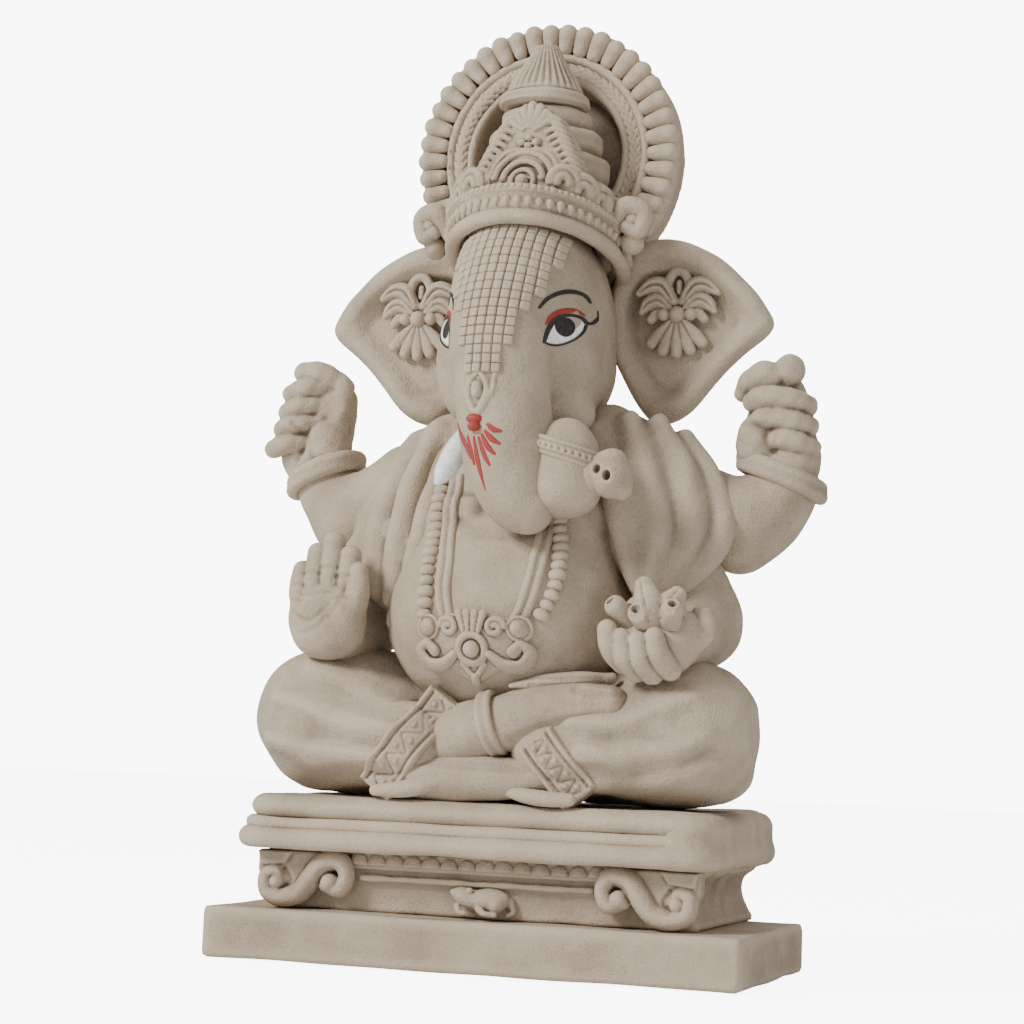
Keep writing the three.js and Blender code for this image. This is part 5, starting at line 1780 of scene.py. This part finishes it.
    def film(self, name: str, upper: Sequence[Point], lower: Sequence[Point], lift: float = 0.12,
             across: int = 6) -> bpy.types.Object:
        """Makes a thin film of paint between two edges that lies on the face.

        Args:
            name: Name of the new object.
            upper: The film's upper edge (x, z), from left to right.
            lower: Its lower edge, from left to right.
            lift: How far it stands off the clay.
            across: Number of pieces between the edges.

        Returns:
            The new object.
        """
        a, b = curve_through(upper, 8), curve_through(lower, 8)
        steps = np.linspace(0, 1, 33)
        a, b = (np.column_stack([np.interp(steps, np.linspace(0, 1, len(e)), e[:, i]) for i in (0, 1)])
                for e in (a, b))
        share = np.linspace(0, 1, across + 1)[:, None, None]
        flat = (a[None] * (1 - share) + b[None] * share).reshape(-1, 2)
        y, normal = self.surface(flat[:, 0], flat[:, 1])
        place = np.column_stack([flat[:, 0], y, flat[:, 1]])
        outer, inner = place + normal * lift, place - normal * 0.35
        n, m = len(steps), across + 1
        quads = []
        for j in range(m - 1):
            for i in range(n - 1):
                q = [j * n + i, j * n + i + 1, (j + 1) * n + i + 1, (j + 1) * n + i]
                quads.append(q[::-1])
                quads.append([v + n * m for v in q])
        rim = ([i for i in range(n)] + [j * n + n - 1 for j in range(1, m)]
               + [(m - 1) * n + i for i in range(n - 2, -1, -1)] + [j * n for j in range(m - 2, 0, -1)])
        for p, q in zip(rim, rim[1:] + rim[:1]):
            quads.append([p, q, q + n * m, p + n * m])
        return new_object(name, np.vstack([outer, inner]), np.array(quads), crease=False)

    def surface(self, x: Field, z: Field) -> tuple:
        """Finds the face's front at places in the front plane.

        Args:
            x: The x values.
            z: The z values.

        Returns:
            The y values and the unit normals there.
        """
        def front(x: Field, z: Field) -> Field:
            """The nearer of the face and the trunk."""
            return np.minimum(self.skin.at(x, z), self.trunk_skin.at(x, z))

        y, step = front(x, z), 0.6
        dx = (front(x + step, z) - front(x - step, z)) / (2 * step)
        dz = (front(x, z + step) - front(x, z - step)) / (2 * step)
        normal = np.column_stack([dx, -np.ones_like(dx), dz])
        return y, normal / np.linalg.norm(normal, axis=1)[:, None]

    def brush(self, name: str, line: Sequence[Point], lift: float = 0.2) -> bpy.types.Object:
        """Paints one brush stroke.

        Args:
            name: Name of the new object.
            line: Points of its middle (x, z, half width).
            lift: How far it stands off the clay.

        Returns:
            The new object.
        """
        drawn = curve_through(line, 6)
        run = np.gradient(drawn[:, :2], axis=0)
        run /= np.maximum(np.linalg.norm(run, axis=1), 1e-6)[:, None]
        across = np.column_stack([-run[:, 1], run[:, 0]]) * np.maximum(drawn[:, 2:3], 0.04)
        upper, lower = drawn[:, :2] + across, drawn[:, :2] - across
        keep = slice(None, None, 2)
        return self.film(name, upper[keep].tolist(), lower[keep].tolist(), lift, across=2)

    def eye(self, side: Side) -> None:
        """Paints an eye: white, iris, dark lids, a red lid stroke and an arched brow.

        Args:
            side: The eye's side.
        """
        s, word = side.value, side.word

        def face(points: Sequence[Point]) -> list:
            """Turns points drawn for the right eye to this side, in order from left to right."""
            return [(0.5 + s * (p[0] - 0.5), *p[1:]) for p in points]

        upper = [(16.1, 188.4), (16.7, 192.5), (18.0, 195.9), (20.3, 197.4), (22.5, 197.2), (23.6, 195.8)]
        lower = [(16.1, 188.4), (17.3, 188.2), (19.5, 189.2), (21.9, 191.2), (23.2, 193.6), (23.6, 195.8)]
        white = self.film(f"eye_white_{word}", face(upper), face(lower), 0.14)
        face_outward(white)
        finish_piece(white, Slot.WHITE, self.paint.white, f"eye_{word}")
        ring = arc((19.6, 194.0), 2.15, 180, 0, 10, 1.4)
        under = arc((19.6, 194.0), 2.15, 180, 360, 10, 1.4)
        iris = self.film(f"eye_iris_{word}", face(ring), face(under), 0.22)
        face_outward(iris)
        finish_piece(iris, Slot.BLACK, self.paint.black, f"pupil_{word}")
        dark = [("lid_upper", [(16.0, 187.6, 0.25), (16.5, 192.4, 0.4), (17.8, 196.3, 0.5), (20.2, 198.0, 0.5),
                               (22.6, 197.8, 0.5), (23.8, 196.4, 0.5)], 0.26),
                ("lid_lower", [(16.0, 187.8, 0.25), (17.3, 187.7, 0.25), (19.6, 188.7, 0.25), (22.1, 190.7, 0.25),
                               (23.5, 193.2, 0.3), (23.8, 195.8, 0.35)], 0.26),
                ("brow", [(14.2, 198.2, 0.25), (15.5, 201.6, 0.45), (17.7, 204.2, 0.6), (20.3, 205.6, 0.65),
                          (22.4, 205.3, 0.5), (23.6, 203.4, 0.2)], 0.26),
                ("lid_tail", [(23.7, 196.2, 0.45), (24.8, 197.0, 0.35), (25.2, 199.2, 0.2), (25.1, 201.6, 0.12)], 0.2)]
        for part, line, lift in dark:
            stroke = self.brush(f"eye_{part}_{word}", face(line), lift)
            face_outward(stroke)
            finish_piece(stroke, Slot.BLACK, self.paint.black)
        stroke = self.brush(f"eye_red_lid_{word}", face([(15.9, 193.4, 0.15), (16.8, 196.5, 0.5), (18.6, 198.7, 0.75),
                                                       (21.0, 199.7, 0.75), (23.2, 198.7, 0.25)]), 0.2)
        face_outward(stroke)
        finish_piece(stroke, Slot.RED, self.paint.red)

    def mark(self) -> None:
        """Paints the fan of red strokes round the jewel."""
        strokes = ([(-8.0, 163.1, 0.25), (-6.3, 160.0, 0.5), (-4.0, 157.2, 0.3)],
                   [(-6.6, 159.6, 0.35), (-5.0, 157.1, 0.55), (-3.1, 154.2, 0.3)],
                   [(-4.3, 157.6, 0.3), (-3.1, 154.6, 0.55), (-1.5, 151.6, 0.3)],
                   [(-2.9, 158.4, 0.3), (-1.5, 153.6, 0.6), (-0.3, 149.6, 0.3)],
                   [(-0.5, 158.0, 0.3), (1.1, 150.4, 0.75), (3.3, 142.0, 0.12)],
                   [(1.2, 157.8, 0.3), (3.1, 152.8, 0.75), (5.1, 149.2, 0.4)],
                   [(2.2, 158.6, 0.35), (4.4, 154.8, 0.85), (6.9, 152.4, 0.4)],
                   [(3.2, 159.6, 0.4), (5.6, 157.0, 0.85), (8.3, 155.5, 0.4)],
                   [(3.9, 161.6, 0.4), (5.9, 159.9, 0.8), (8.5, 159.3, 0.35)])
        for i, line in enumerate(strokes):
            stroke = self.brush(f"mark_stroke_{i + 1}", line)
            face_outward(stroke)
            finish_piece(stroke, Slot.RED, self.paint.red)

    def build(self) -> None:
        """Builds the head."""
        self.face()
        self.trunk()
        self.curl()
        self.tusk()
        for side in Side:
            self.ear(side)
            self.flower(side)
            self.eye(side)
        self.netting()
        self.jewel()
        self.mark()


# ---------------------------------------------------------------- crown and halo


@dataclass
class Crown:
    """The tiara, the crest over it, the stepped crown with its parasol, and the halo behind."""

    paint: Paintbox
    grain: float = 0.92
    fine: float = 0.43
    petals: int = 44
    leaves: int = 46
    teeth: int = 58
    halo_centre: tuple = (-2.0, 257.0)

    @staticmethod
    def band_line(grow: float, lift: float, steps: int = 48) -> list:
        """Draws the tiara's ring, which rises at the front.

        Args:
            grow: How far outside the band it runs.
            lift: Its height over the band's lower edge.
            steps: Number of pieces.

        Returns:
            The ring's points, starting at the back.
        """
        line = []
        for i in range(steps + 1):
            turn = math.pi / 2 + 2 * math.pi * i / steps
            y = (33 + grow) * math.sin(turn)
            line.append((0.8 + (28 + grow) * math.cos(turn), 2 + y, 217.5 - 0.27 * y + lift))
        return line

    def tiara(self) -> None:
        """Models the tiara: a plain round band, a row of teeth, and a beaded rope along its top."""
        box = Box.of("tiara_band")
        clay = Clay(box.low - (2, 2, 12), box.high + (2, 2, 12), 0.5)
        clay.coil(self.band_line(-1.4, 2.2), 2.5, steps=2)
        clay.coil(self.band_line(-2.6, 6.4), 2.9, steps=2, blend=0.5)
        clay.coil(self.band_line(-0.6, 10.4), 1.5, steps=2, blend=0.4)
        clay.coil(self.band_line(-1.0, 8.6), 1.2, steps=2, blend=0.4)
        finish_piece(clay.mesh("tiara_bands", 0.15), Slot.CLAY, self.paint.clay, "tiara_band")
        tooth = Clay((-1.5, -1.5, -1), (1.5, 1.5, 1.5), 0.5)
        tooth.ball((0, 0, 0), (1.35, 1.5, 1.5), (45, 0, 0))
        tooth.ball((0, -0.9, 0.2), (0.6, 1.4, 0.9), blend=0.4)
        row = string_along("tiara_teeth", path_object("tooth_line", self.band_line(0.0, 6.6)[:-1], centre=(0.8, 2, 226),
                                                      closed=True), small_mesh(tooth, "tooth"), self.teeth, 0.12)
        finish_piece(row, Slot.CLAY, self.paint.clay)
        bead = Clay((-1, -1, -1), (1, 1, 1), 0.5)
        bead.ball((0, 0, 0), (1.15, 1.0, 1.0))
        rope = string_along("tiara_beads", path_object("bead_line", self.band_line(0.5, 10.6)[:-1], centre=(0.8, 2, 226),
                                                       closed=True), small_mesh(bead, "tiara_bead"), 96, 0.1)
        finish_piece(rope, Slot.CLAY, self.paint.clay)

    def crest(self) -> None:
        """Models the leaf crest: a fan leaf, arches round a boss, feathered slopes, volutes and scallops."""
        box = Box.of("crown_crest")
        foot, lean = box.low[2], 0.31
        clay = Clay(box.low - (10, 3, 2), box.high + (12, 8, 2), self.fine)

        def face(x: Field, z: Field) -> Field:
            """The crest's front, which leans back and rounds away to the sides."""
            return box.low[1] + 1.6 + lean * (z - foot - 8) + 0.012 * x**2 + 0 * z

        outline = curve_through([(-21, 232), (-19.6, 239.5), (-15.6, 246), (-13.6, 251.5), (-10.8, 257.5), (-7.2, 262.5),
                                 (-3.6, 267), (0.6, 269.6), (6, 266.6), (11.6, 261.2), (14.8, 256.4), (17.0, 250),
                                 (18.0, 244.6), (20.6, 241), (23, 234), (10, 231), (-8, 231)], 4, closed=True)
        clay.slab(outline, face, lambda x, z: face(x, z) + 6.5, 1.2)
        skin = clay.front()
        boss = (0.6, 242.0)
        clay.trace([arc(boss, r, 8, 172, 14) for r in (9.6, 6.6)], 1.05, 0.4, blend=0.4, skin=skin)
        clay.trace([arc(boss, r, 14, 166, 12) for r in (8.1, 5.2)], 0.5, 0.1, blend=0.3, cut=True, skin=skin)
        clay.trace([arc(boss, 3.7, 0, 360, 16)], 0.85, 0.5, blend=0.3, skin=skin)
        clay.ball((boss[0], float(box.low[1] + 1.6 + lean * 9.0) - 0.9, boss[1]), (2.1, 1.7, 2.1))
        for i in range(7):
            a = math.radians(90 + (i - 3) * 17)
            tip = 12.6 - 0.35 * (i - 3) ** 2
            clay.trace([[(0.6 + 2.6 * math.cos(a), 257.6 + 2.6 * math.sin(a), 0.7),
                         (0.6 + 7.8 * math.cos(a), 257.6 + 7.8 * math.sin(a), 1.45),
                         (0.6 + tip * math.cos(a), 257.6 + tip * math.sin(a), 1.3)]], 1.2, 0.7, blend=0.15, skin=skin)
        for dx, dz in ((-2.2, 0), (0, 1.6), (2.2, 0), (0, -1.2)):
            clay.trace([[(1.0 + dx, 255.2 + dz), (1.0 + dx * 1.2, 255.2 + dz)]], 1.25, 0.5, blend=0.3, skin=skin)
        ribs = 9
        for s in (-1, 1):
            for i in range(ribs):
                t = i / (ribs - 1)
                ox = s * (8.6 + 9.6 * t - 1.4 * t * t) + 0.9
                oz = 262.6 - 17.4 * t
                ix, iz = ox - s * (6.4 - 1.8 * t), oz + 0.2
                mx, mz = (ix + ox) / 2, oz + 1.4
                clay.coil([(ix, face(ix, iz) - 0.1, iz), (mx, face(mx, mz) - 0.7, mz), (ox, face(ox, oz) - 0.2, oz - 0.3),
                           (ox + s * 1.0, face(ox, oz) + 2.8, oz - 1.1), (ox + s * 0.7, face(ox, oz) + 6.2, oz - 1.0)],
                          (0.7, 1.1, 1.25, 1.3, 1.1), blend=0.15, steps=3)
            clay.trace([[(boss[0] + s * 11.6, 238), (boss[0] + s * 11.4, 244), (boss[0] + s * 8.4, 250.4),
                         (boss[0] + s * 3.0, 253)]], 0.8, 0.4, blend=0.3, skin=skin)
            clay.trace([[(boss[0] + s * 12.9, 240), (boss[0] + s * 12.4, 246), (boss[0] + s * 9.0, 252.4)]], 0.6, 0.3,
                       blend=0.3, skin=skin)
            clay.trace([spiral((boss[0] + s * 14.4, 239.4), 3.3, 0.7, 90 + s * 60, -s * 1.35, 18)], 0.95, 0.5, blend=0.25,
                       skin=skin)
        for s in (-1, 1):
            for i in range(5):
                turn = math.radians(58 - 13.5 * i)
                x, y = 0.8 + s * 28.0 * math.cos(turn), 1 - 29.4 * math.sin(turn)
                z = 230.0 + 0.27 * 31 * math.sin(turn) + 2.4 - 0.9 * i
                for reach, wire, sink in ((4.3, 1.5, 2.6), (2.0, 1.5, 1.8)):
                    shell = []
                    for step in range(9):
                        a = math.radians(175 - 22 * step)
                        u = reach * math.cos(a)
                        shell.append((x + s * u * math.sin(turn), y + sink + u * math.cos(turn), z + 1.1 * reach * math.sin(a)))
                    clay.coil(shell, wire, blend=0.2, steps=2)
                clay.ball((x, y + 4.0, z), (3.6, 2.4, 4.2), blend=0.2)
        clay.trim((-36, -26, 226), (37, 12, 271))
        finish_piece(clay.mesh("crest_leaf", 0.1), Slot.CLAY, self.paint.clay, "crown_crest")

    def tiers(self) -> None:
        """Models the stepped crown, the ledge under the parasol, and the parasol with its pleats."""
        box = Box.of("crown_tiers")
        clay = Clay(box.low - 1, box.high + (1, 1, 2), 0.7)
        c = (0.6, 6.0)
        for low, high, radius in ((227, 236, 23.0), (236, 244.5, 22.5), (246, 253.5, 20.6), (255, 261.6, 18.2),
                                  (263, 268.6, 14.4)):
            clay.wheel(c, [(0, low), (radius - 1.2, low), (radius, low + 1.6), (radius, high - 1.2),
                           (radius - 1.0, high), (0, high)], blend=1.2)
        clay.wheel(c, [(0, 230), (20.2, 230), (20.2, 245.4), (17.2, 254.4), (13.6, 262.4), (10.5, 271), (0, 271)], blend=1)
        clay.trim(box.low - (0.8, 0.8, 0), box.high + (0.8, 0.8, 0))
        finish_piece(clay.mesh("crown_steps", 0.35), Slot.CLAY, self.paint.clay, "crown_tiers")
        top = Box.of("crown_finial")
        clay = Clay(top.low - (3, 4, 2), top.high + (3, 3, 1), 0.42)
        c = (0.4, 3.6)
        clay.wheel(c, [(0, 272.6), (10.6, 272.6), (12.4, 274.6), (10.6, 278), (8.0, 282.2), (5.4, 286.6), (3.6, 290),
                       (0, 290.4)])

        def pleats(x: Field, y: Field, z: Field) -> Field:
            """Thin pleats that run down the parasol."""
            a = np.arctan2(y - c[1], x - c[0])
            return 0.34 * np.sin(30 * a) * np.clip((z - 273.5) / 3, 0, 1)

        clay.press(pleats, top.low - 4, top.high + 4)
        clay.wheel(c, [(0, 269.4), (12.4, 269.4), (14.6, 270.4), (14.2, 273.2), (12.0, 274.0), (0, 274.0)], blend=0.3)
        finish_piece(clay.mesh("crown_parasol", 0.2), Slot.CLAY, self.paint.clay, "crown_finial")

    def side_curl(self, side: Side) -> None:
        """Models the big curl and the ball where the tiara meets the ear.

        Args:
            side: The side it is on.
        """
        box = Box.of("crown_curl_right")
        clay = Clay(box.low - (3, 10, 8), box.high + (6, 4, 4), 0.38)
        clay.ball((30.5, 2, 233), (5.4, 5.0, 5.6))
        clay.coil([(27, -4.5, 228), (31, -6.4, 235), (36.4, -4.6, 233.4), (35.4, -5.4, 227.6), (31.8, -6.0, 228.8)],
                  (2.4, 3.2, 3.0, 2.6, 2.2), blend=0.5)
        clay.ball((33.4, -4.6, 231.2), (3.0, 3.2, 3.0), blend=0.3)
        clay.ball((36.4, -1.6, 230.4), (3.2, 3.4, 3.8), blend=0.6)
        clay.ball((32.6, -2, 224.6), (3.6, 4.0, 3.8), blend=1.0)
        item = clay.mesh(f"crown_scroll_{side.word}", 0.2)
        if side is Side.LEFT:
            flip(item)
        finish_piece(item, Slot.CLAY, self.paint.clay, f"crown_curl_{side.word}")

    def halo(self) -> None:
        """Models the halo's disc: a deep recess, an inner lip, a bed for the leaves, and a plain ridge."""
        box = Box.of("halo_disc")
        cx, cz = self.halo_centre
        clay = Clay(box.low - (1, 6, 1), box.high + (1, 0, 1), self.grain)
        y0, y1 = box.low[1], box.high[1]
        profile = [(0, y1), (0, y0 + 8.5), (23.4, y0 + 8.5), (24.8, y0 - 2.0), (26.6, y0 - 3.2), (27.6, y0 - 1.6),
                   (31.2, y0 - 1.6), (31.8, y0 - 3.4), (33.0, y0 - 4.2), (34.2, y0 - 3.4), (34.8, y0 + 0.5),
                   (41.2, y0 + 1.5), (42.6, y0 + 3.0), (42.6, y1 - 3.5), (39.5, y1)]
        clay.wheel((cx, cz), profile, upright=False)
        clay.trim(box.low - (0.6, 5, 0), box.high + (0.6, 0, 0.6))
        finish_piece(clay.mesh("halo_wheel", 0.35, 40), Slot.CLAY, self.paint.clay, "halo_disc")

    def ring_line(self, radius: float, y: float, start: float, end: float, steps: int = 90) -> list:
        """Draws an arc of the halo.

        Args:
            radius: Its radius.
            y: Its depth.
            start: Its first angle in degrees.
            end: Its last angle in degrees.
            steps: Number of pieces.

        Returns:
            The arc's points.
        """
        return [(x, y, z) for x, z in arc(self.halo_centre, radius, start, end, steps)]

    def halo_relief(self) -> None:
        """Lays the halo's petals in two rows, and the braid of leaves that parts at the top."""
        box = Box.of("halo_petals")
        y0 = box.low[1]
        centre = (self.halo_centre[0], y0, self.halo_centre[1])
        petal = Clay((-3.4, -3, -7), (3.4, 4, 6), 0.6)
        petal.coil([(0, 0.6, -3.4), (0, 0.2, -0.4), (0, 0.4, 1.8)], (2.3, 2.9, 3.1))
        petal.coil([(0.8, -2.0, -3.8), (0.9, -2.9, 0.6)], (0.4, 0.5), blend=0.5, cut=True)
        petal.coil([(-1.1, -1.9, -3.0), (-1.3, -2.7, 1.4)], (0.35, 0.45), blend=0.5, cut=True)
        path = path_object("petal_line", self.ring_line(39.2, y0 + 3.0, 0, 356, 89), centre=(centre[0], y0 + 3.0, centre[2]),
                           closed=True)
        front = string_along("halo_petal_row", path, small_mesh(petal, "petal"), self.petals, 0.08, 5)
        finish_piece(front, Slot.CLAY, self.paint.clay, "halo_petals")
        lobe = Clay((-3.2, -3.8, -3), (3.2, 3.8, 3), 0.6)
        lobe.ball((0, 0, 0), (3.0, 3.6, 2.6))
        path = path_object("lobe_line", self.ring_line(41.0, y0 + 5.4, 4, 360, 89), centre=(centre[0], y0 + 5.4, centre[2]),
                           closed=True)
        back = string_along("halo_lobe_row", path, small_mesh(lobe, "lobe"), self.petals, 0.12, 9)
        finish_piece(back, Slot.CLAY, self.paint.clay)
        for side in Side:
            leaf = Clay((-4, -2, -3), (4, 2, 3), 0.42)
            leaf.coil([(-2.8, -0.5, -1.7), (0, -0.9, 0.2), (2.8, -0.3, 2.0)], (0.7, 1.1, 0.8))
            leaf.coil([(-2.8, -0.5, 1.7), (0, -0.9, -0.2), (2.8, -0.3, -2.0)], (0.7, 1.1, 0.8), blend=0.3)
            start, end = (84, -62) if side is Side.RIGHT else (96, 242)
            line = self.ring_line(29.5, y0 + 3.2, start, end, 80)[::-1]
            path = path_object("leaf_line", line, centre=(centre[0], y0 + 3.2, centre[2]))
            row = string_along(f"halo_leaves_{side.word}", path, small_mesh(leaf, "leaf"), self.leaves // 2 + 4, 0.08, 4)
            finish_piece(row, Slot.CLAY, self.paint.clay, *(("halo_rope",) if side is Side.RIGHT else ()))

    def build(self) -> None:
        """Builds the crown and halo."""
        self.tiara()
        self.crest()
        self.tiers()
        for side in Side:
            self.side_curl(side)
        self.halo()
        self.halo_relief()


# ---------------------------------------------------------------- necklace


@dataclass
class Necklace:
    """The double band, the string of barrel beads outside it, and the pendant."""

    paint: Paintbox
    skin: Skin
    beads: int = 15  # on each side

    def line(self, side: Side, points: Sequence[Point], lift: float) -> list:
        """Lays a line on the chest.

        Args:
            side: The side it is on.
            points: Its (x, z) points, x outwards.
            lift: How far in front of the chest it runs.

        Returns:
            The line's points in space.
        """
        flat = curve_through([(side.value * x, z) for x, z in points], 6)
        y = self.skin.at(flat[:, 0], flat[:, 1]) - lift
        return [(float(x), float(v), float(z)) for (x, z), v in zip(flat, y)]

    def band(self) -> None:
        """Models the flat double band with a groove between."""
        box = Box.of("necklace_band")
        clay = Clay(box.low - (4, 6, 8), box.high + (6, 6, 6), 0.36)
        for side, path in ((Side.LEFT, [(15.6, 149), (15.6, 138), (13.6, 129), (11.6, 120.8), (11.1, 112.7), (9.4, 105.5)]),
                           (Side.RIGHT, [(15.4, 146), (15.8, 136), (16.4, 127), (16.4, 118), (14.9, 109.3), (12.0, 102.5)])):
            for shift, radius in ((-1.35, 1.25), (1.35, 1.25), (0, 0.9)):
                line = self.line(side, [(x + shift, z) for x, z in path], 0.3 if shift else 0.1)
                clay.coil(line, radius, blend=0.3, steps=1)
        finish_piece(clay.mesh("necklace_double_band", 0.1), Slot.CLAY, self.paint.clay, "necklace_band")

    def string(self, side: Side) -> None:
        """Strings the beads down one side.

        Args:
            side: The side of the chest.
        """
        bead = Clay((-3, -3, -3), (3, 3, 3), 0.42)
        bead.ball((0, 0, 0), (1.9, 2.6, 2.3))
        paths = {Side.LEFT: [(20.8, 148), (19.8, 138), (18.6, 128), (17.6, 119), (16.9, 111), (16.8, 105.5)],
                 Side.RIGHT: [(19.2, 142), (19.8, 134), (21.9, 125), (22.6, 118), (22.0, 112), (19.6, 106.0)]}
        line = self.line(side, paths[side], 1.2)
        path = path_object("string_line", line, out=(0, -1, 0))
        count = self.beads if side is Side.LEFT else self.beads - 2
        row = string_along(f"bead_string_{side.word}", path, small_mesh(bead, "bead"), count, 0.12, 2)
        finish_piece(row, Slot.CLAY, self.paint.clay, *(("bead_string",) if side is Side.LEFT else ()))

    def pendant(self) -> None:
        """Models the pendant: a boss in a ring, flutes and spirals over it, big hooks and a drop below."""
        box = Box.of("pendant")
        clay = Clay(box.low - (8, 5, 4), box.high + (6, 8, 8), 0.32)
        skin = self.skin.over(clay)
        c = (-0.6, 95.4)
        wide = [(13.6, 103.4), (16.4, 97), (14.4, 91.2), (8.4, 89.6), (4.2, 87.4)]
        outline = curve_through([(c[0], 85.4), *((c[0] + x, z) for x, z in wide[::-1]), (c[0], 106.6),
                                 *((c[0] - x, z) for x, z in wide)], 4, closed=True)
        sheet = Skin(clay.axes[0], clay.axes[2], skin)
        clay.slab(outline, lambda x, z: sheet.at(x + 0 * z, z + 0 * x) - 1.8, lambda x, z: sheet.at(x + 0 * z, z + 0 * x)
                  + 2.5, 0.9)
        top = skin - 1.7
        clay.trace([arc(c, 4.2, 0, 360, 16)], 1.1, 0.6, blend=0.3, skin=top)
        clay.ball((c[0], float(self.skin.at(np.array([c[0]]), np.array([c[1]]))[0]) - 2.6, c[1]), (2.5, 2.2, 2.5))
        for dx in (-3.0, -1.0, 1.0, 3.0):
            clay.trace([[(c[0] + dx * 0.8, c[1] + 5.4, 0.7), (c[0] + dx * 1.3, c[1] + 10.6, 1.2)]], 0.9, 0.6, blend=0.2,
                       skin=top)
        for s in (-1, 1):
            clay.trace([spiral((c[0] + s * 7.4, c[1] + 6.4), 2.9, 0.7, 90 - s * 80, s * 1.3, 16)], 0.95, 0.6, blend=0.25,
                       skin=top)
            clay.trace([[(c[0] + s * 14.4, c[1] + 6.4), (c[0] + s * 14.6, c[1] + 6.2)]], 2.6, 0.6, blend=0.3, skin=top)
            clay.trace([arc((c[0] + s * 14.5, c[1] + 6.3), 3.4, 0, 360, 12)], 0.6, 0.3, blend=0.2, skin=top)
            hook = [(c[0] + s * 5.6, c[1] - 1.6, 1.3), (c[0] + s * 9.8, c[1] - 4.6, 1.9), (c[0] + s * 14.6, c[1] - 4.6, 2.0),
                    (c[0] + s * 17.4, c[1] - 0.8, 1.8), (c[0] + s * 15.0, c[1] + 1.4, 1.5), (c[0] + s * 12.4, c[1] - 0.6, 1.8)]
            clay.trace([hook], 1.7, 0.8, blend=0.3, skin=top)
        clay.trace([[(c[0] - 3.4, c[1] - 4.4), (c[0], c[1] - 8.0), (c[0] + 3.4, c[1] - 4.4)]], 0.8, 0.4, blend=0.3,
                   skin=top)
        clay.trace([[(c[0], c[1] - 8.6), (c[0], c[1] - 9.6)]], 1.3, 0.5, blend=0.3, skin=top)
        finish_piece(clay.mesh("pendant_scrolls", 0.05), Slot.CLAY, self.paint.clay, "pendant")

    def build(self) -> None:
        """Builds the necklace."""
        self.band()
        for side in Side:
            self.string(side)
        self.pendant()


# ---------------------------------------------------------------- light, floor and camera


@dataclass(frozen=True)
class Studio:
    """A plain pale floor, soft light from the upper left, and the camera."""

    camera_place: tuple = (247.76, -738.52, 67.14)
    right: tuple = (0.94695, 0.31891, 0.03975)
    up: tuple = (-0.00768, -0.1012, 0.99484)
    back: tuple = (0.32129, -0.94237, -0.09338)
    lens: float = 87.89
    floor_size: float = 6.0  # metres
    ambient: float = 0.5  # strength of the pale room round the idol
    backdrop: float = 9.0  # strength of the lit sheet behind it

    def floor(self) -> None:
        """Lays a matte white floor."""
        half = self.floor_size / 2
        mesh = bpy.data.meshes.new("floor")
        mesh.from_pydata([(-half, -half, 0), (half, -half, 0), (half, half, 0), (-half, half, 0)], [], [(0, 1, 2, 3)])
        item = bpy.data.objects.new("floor", mesh)
        bpy.context.collection.objects.link(item)
        material = bpy.data.materials.new("matte white paper")
        material.use_nodes = True
        shader = material.node_tree.nodes["Principled BSDF"]
        shader.inputs["Base Color"].default_value = linear("fafafa")
        shader.inputs["Roughness"].default_value = 0.9
        tree = material.node_tree
        seen = add_node(tree, "ShaderNodeLightPath").outputs["Is Camera Ray"]
        glow = add_node(tree, "ShaderNodeMapRange", Value=seen, i4=0.8 * self.backdrop)
        tree.links.new(glow.outputs[0], shader.inputs["Emission Strength"])
        shader.inputs["Emission Color"].default_value = (1, 1, 1, 1)
        mesh.materials.append(material)

    def lamp(self, name: str, place: Point, aim: Point, power: float, size: float) -> None:
        """Hangs a soft square light.

        Args:
            name: Its name.
            place: Where it hangs, in metres.
            aim: What it points at.
            power: Its power in watts.
            size: Its side in metres.
        """
        light = bpy.data.lights.new(name, "AREA")
        light.energy = power
        light.size = size
        item = bpy.data.objects.new(name, light)
        item.location = place
        item.rotation_euler = (Vector(aim) - Vector(place)).to_track_quat("-Z", "Y").to_euler()
        bpy.context.collection.objects.link(item)

    def build(self) -> None:
        """Sets up the floor, the lights, the pale surroundings and the camera."""
        self.floor()
        aim = (0, 0, 0.15)
        self.lamp("key light", (-1.0, -1.15, 1.15), aim, 40.0, 0.5)
        self.lamp("fill light", (1.3, -1.1, 0.5), aim, 4.5, 1.2)
        self.lamp("top light", (0.1, 0.5, 1.6), aim, 8.0, 1.0)
        world = bpy.data.worlds.new("pale room")
        world.use_nodes = True
        tree = world.node_tree
        seen = add_node(tree, "ShaderNodeLightPath").outputs["Is Camera Ray"]
        strength = add_node(tree, "ShaderNodeMapRange", Value=seen, i3=self.ambient, i4=self.backdrop)
        sheet = tree.nodes["Background"]
        sheet.inputs["Color"].default_value = (1, 1, 1, 1)
        tree.links.new(strength.outputs[0], sheet.inputs["Strength"])
        bpy.context.scene.world = world
        camera = bpy.data.cameras.new("camera")
        camera.lens = self.lens
        camera.sensor_width = 36
        camera.clip_end = 50
        item = bpy.data.objects.new("camera", camera)
        turn = Matrix((self.right, self.up, self.back)).transposed()
        item.matrix_world = Matrix.Translation(Vector(self.camera_place) * MM) @ turn.to_4x4()
        bpy.context.collection.objects.link(item)
        bpy.context.scene.camera = item


# ---------------------------------------------------------------- the idol


def main() -> None:
    """Builds the idol from the ground up and sets it in the studio."""
    paint = Paintbox()
    Pedestal(paint).build()
    body = Body(paint)
    body.build()
    Arms(paint).build()
    Head(paint).build()
    Crown(paint).build()
    Necklace(paint, body.skin).build()
    Studio().build()


if __name__ == "__main__":
    logging.basicConfig(level=logging.INFO, format="%(name)s %(message)s")
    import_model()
    main()
